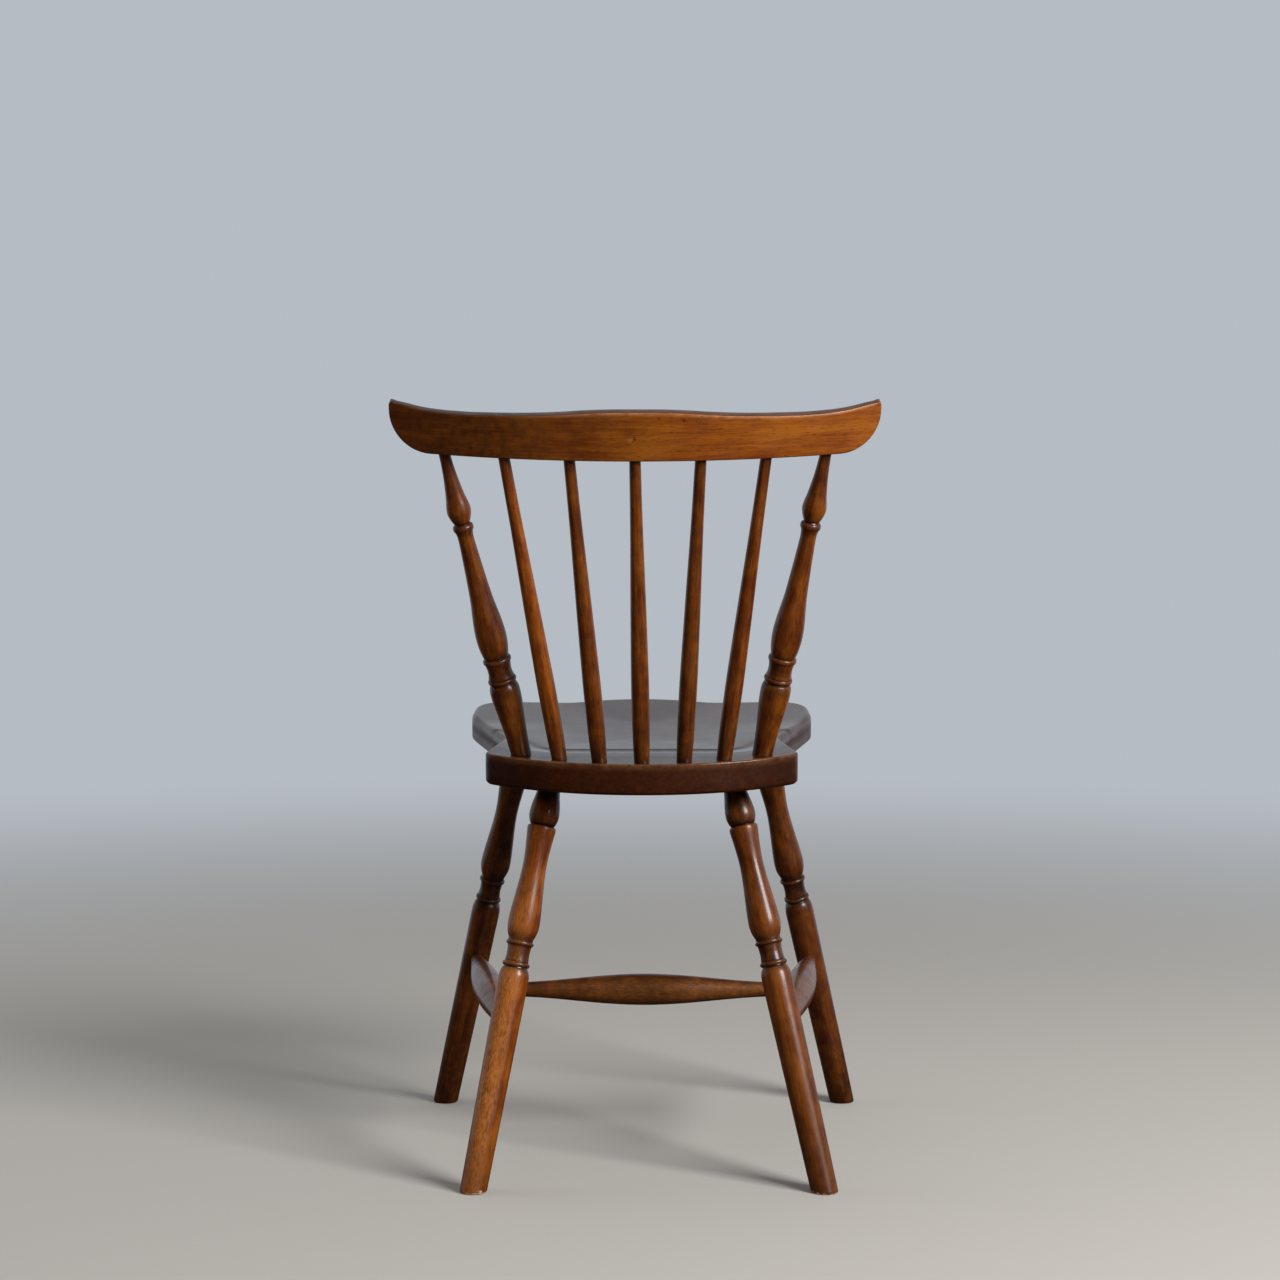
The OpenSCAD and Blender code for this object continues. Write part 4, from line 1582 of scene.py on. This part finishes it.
@dataclass
class Chair:
    """All the pieces of the chair, each in the place of its node."""

    plan: ChairPlan = field(default_factory=ChairPlan)
    turnery: Turnery = field(default_factory=Turnery)

    def sticks(self) -> list[Stick]:
        """Lists every turned stick.

        Returns:
            The sticks, each ready to be built.
        """
        plan, turnery = self.plan, self.turnery
        found: list[Stick] = []

        def add(kind: type[Stick], node: str, ends: tuple[Vector, Vector],
                draw: Callable[[float], list[Pair]], **wear: object) -> None:
            """Adds one stick between two ends, and what is told of its wear."""
            length = (ends[1] - ends[0]).length / MM
            found.append(kind(node, ends[0], ends[1], draw(length), len(found) + 1, **wear))

        for side in Side:
            word = side.name.lower()
            left = side is Side.LEFT
            # The tones darken whole sticks, given stick by stick; on the front legs under the seat and on
            # the cross stretcher they are partly painted shade.
            add(Stick, f"back_post_{word}", plan.post_ends(side), turnery.post, tone=0.3 if left else 0.24,
                grime=POST_DARKENING)
            add(Leg, f"leg_front_{word}", plan.front_leg_ends(side), turnery.leg, tone=0.56,
                grime=LEG_DARKENING)
            # The rear legs' and side stretchers' paler side, strongest on the rear left leg, is partly a
            # bleached finish and partly painted light.
            add(Leg, f"leg_rear_{word}", plan.rear_leg_ends(side), turnery.leg, tone=0.0 if left else 0.32,
                grime=LEG_DARKENING, fading=0.66 if left else 0.1, worn_foot=1.0)
            add(Stick, f"side_stretcher_{word}", plan.side_ends(side),
                lambda length: turnery.stretcher(length, 18, 14, 1.2), tone=0.5, fading=0.1)
        for number, place in enumerate((2, 1, 0, -1, -2), start=1):
            add(Stick, f"spindle_{number}", plan.spindle_ends(place), turnery.spindle,
                tone=SPINDLE_TONES[number - 1], grime=SPINDLE_DARKENING)
        # The cross stretcher's paler band on its rear side is a painted highlight.
        add(Stick, "cross_stretcher", plan.cross_ends(),
            lambda length: turnery.stretcher(length, 18.5, 15.4, 2), tone=0.62, fading=0.8,
            fading_towards=(0, 1, 0), fading_from=30.0)
        return found

    def fit(self, piece: bpy.types.Object, node: str, slot: Slot, finish: bpy.types.Material) -> None:
        """Puts a finished piece in the place of its node.

        Args:
            piece: The piece.
            node: The node that it stands for.
            slot: Not used.
            finish: Its material.
        """
        piece.data.materials.clear()
        piece.data.materials.append(finish)
        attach(piece, BODY)
        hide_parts(node)
        low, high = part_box(node)
        places = Bench.vertices(piece)
        past = max(max(np.array(low) - places.min(0)), max(places.max(0) - np.array(high)))
        log.info("%s: %d faces, %.2f mm past its node's box",
                 piece.name, len(piece.data.polygons), past / MM)

    def build(self) -> None:
        """Builds and places every piece."""
        seat = Seat(self.plan)
        slab = seat.build()
        seat.dress(slab)
        self.fit(slab, "seat", Slot.SEAT, SEAT.mixed())
        rail = CrestRail(self.plan)
        crest = rail.build()
        rail.dress(crest)
        self.fit(crest, "crest_rail", Slot.RAIL, replace(RAIL, marks=rail.marks()).mixed())
        turned = TURNED.mixed()
        for stick in self.sticks():
            piece = stick.build()
            Bench.finish(piece)
            stick.dress(piece)
            self.fit(piece, stick.node, Slot.TURNED, turned)


# ---- the studio ----------------------------------------------------------------


@dataclass(frozen=True)
class Lamp:
    """One soft square lamp, its power in watts."""

    name: str
    place: tuple[float, float, float]
    size: float
    power: float
    colour: tuple[float, float, float] = (1, 1, 1)
    mirrored: bool = True


@dataclass(frozen=True)
class Studio:
    """A pale floor, soft light and a camera behind the chair."""

    camera_place: Vector = field(default_factory=lambda: Vector((-0.63 * MM, 3099.4 * MM, 772 * MM)))
    camera_pitch: float = math.radians(4)
    lens: float = 81.5625
    lit_place: Vector = field(default_factory=lambda: Vector((0, 0, 0.45)))
    lamps: tuple[Lamp, ...] = (
        Lamp("window", (-2.6, 2.42, 2.25), 1.6, 168, (1.0, 0.99, 0.97)),
        Lamp("sky", (0.2, 0.6, 4.2), 3.0, 7),
        Lamp("side", (2.3, -0.25, 0.7), 1.4, 10, (0.95, 0.98, 1.0), mirrored=False))
    backdrop: Colour = stain(182, 188, 195)
    floor: Colour = stain(206, 202, 196)
    floor_light: Colour = stain(122, 104, 88)
    dark_floor: Colour = stain(52, 44, 38)
    ambient: float = 0.11
    wall_bounce: float = 0.32
    dim_room: float = 0.035

    def put_camera(self) -> None:
        """Places the camera and makes it the scene's."""
        data = bpy.data.cameras.new("camera")
        data.lens = self.lens
        data.sensor_width = 36
        data.clip_end = 100
        camera = bpy.data.objects.new("camera", data)
        camera.location = self.camera_place
        camera.rotation_euler = (math.pi / 2 - self.camera_pitch, 0, math.pi)
        bpy.context.scene.collection.objects.link(camera)
        bpy.context.scene.camera = camera

    def hang(self, lamp: Lamp) -> None:
        """Hangs one lamp that looks at the chair's middle.

        Args:
            lamp: The lamp.
        """
        data = bpy.data.lights.new(lamp.name, "AREA")
        data.shape = "SQUARE"
        data.size = lamp.size
        data.energy = lamp.power
        data.color = lamp.colour
        hung = bpy.data.objects.new(lamp.name, data)
        hung.location = lamp.place
        hung.visible_glossy = lamp.mirrored
        hung.rotation_euler = (self.lit_place - hung.location).to_track_quat("-Z", "Y").to_euler()
        bpy.context.scene.collection.objects.link(hung)

    def light_world(self) -> None:
        """Surrounds the chair with even pale light, and a dim room behind it."""
        recipe = Recipe(bpy.data.worlds.new("surroundings"))
        bpy.context.scene.world = recipe.owner
        path = recipe.add("ShaderNodeLightPath")
        sky = recipe.add("ShaderNodeTexCoord").outputs["Generated"]
        place = recipe.add("ShaderNodeSeparateXYZ", {0: sky})
        back, up = place.outputs["Y"], place.outputs["Z"]
        recipe.set(Color=(0.97, 0.98, 1.0, 1),
                   Strength=recipe.fit(back, 0.3, -0.6, self.ambient, self.wall_bounce, "LINEAR"))
        wall = recipe.times(recipe.fit(back, 0.45, -0.45, self.dim_room, 1.0),
                            recipe.fit(up, 0.58, 0.36, 0.4, 1.0))
        seen = recipe.add("ShaderNodeBackground", {"Color": self.backdrop})
        mirrored = recipe.add("ShaderNodeBackground", {"Color": self.backdrop, "Strength": wall})
        rest = recipe.either(path.outputs["Is Glossy Ray"], recipe.shader, mirrored)
        recipe.pour(recipe.either(path.outputs["Is Camera Ray"], rest, seen))

    def lay_floor(self) -> None:
        """Lays the pale floor, which fades into the backdrop far away."""
        Bench.clear()
        bpy.ops.mesh.primitive_circle_add(vertices=96, radius=9, fill_type="NGON", location=(0, 0, 0))
        floor = bpy.context.object
        floor.name = "floor"
        recipe = Recipe(bpy.data.materials.new("pale_floor"))
        path = recipe.add("ShaderNodeLightPath")
        camera, glossy = path.outputs["Is Camera Ray"], path.outputs["Is Glossy Ray"]
        recipe.set(Base_Color=recipe.mix(camera, self.floor_light, self.floor), Roughness=0.9)
        place = recipe.add("ShaderNodeTexCoord").outputs["Object"]
        reach = recipe.add("ShaderNodeVectorMath", {0: place}, operation="LENGTH").outputs["Value"]
        far = recipe.times(recipe.fit(reach, 0.9, 3.6), camera)
        back = recipe.add("ShaderNodeSeparateXYZ", {0: place}).outputs["Y"]
        mirrored = recipe.mix(recipe.fit(back, -0.7, -1.5), self.dark_floor, self.backdrop)
        glow = recipe.add("ShaderNodeEmission", {"Color": recipe.mix(glossy, self.backdrop, mirrored)})
        recipe.pour(recipe.either(recipe.maths("MAXIMUM", far, glossy), recipe.shader, glow))
        floor.data.materials.append(recipe.owner)

    def build(self) -> None:
        """Sets up the whole studio."""
        bpy.context.scene.view_settings.view_transform = "Standard"
        self.put_camera()
        self.light_world()
        for lamp in self.lamps:
            self.hang(lamp)
        self.lay_floor()


def main() -> None:
    """Builds the studio and the chair."""
    logging.basicConfig(level=logging.INFO, format="%(message)s")
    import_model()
    Studio().build()
    Chair().build()


if __name__ == "__main__":
    main()
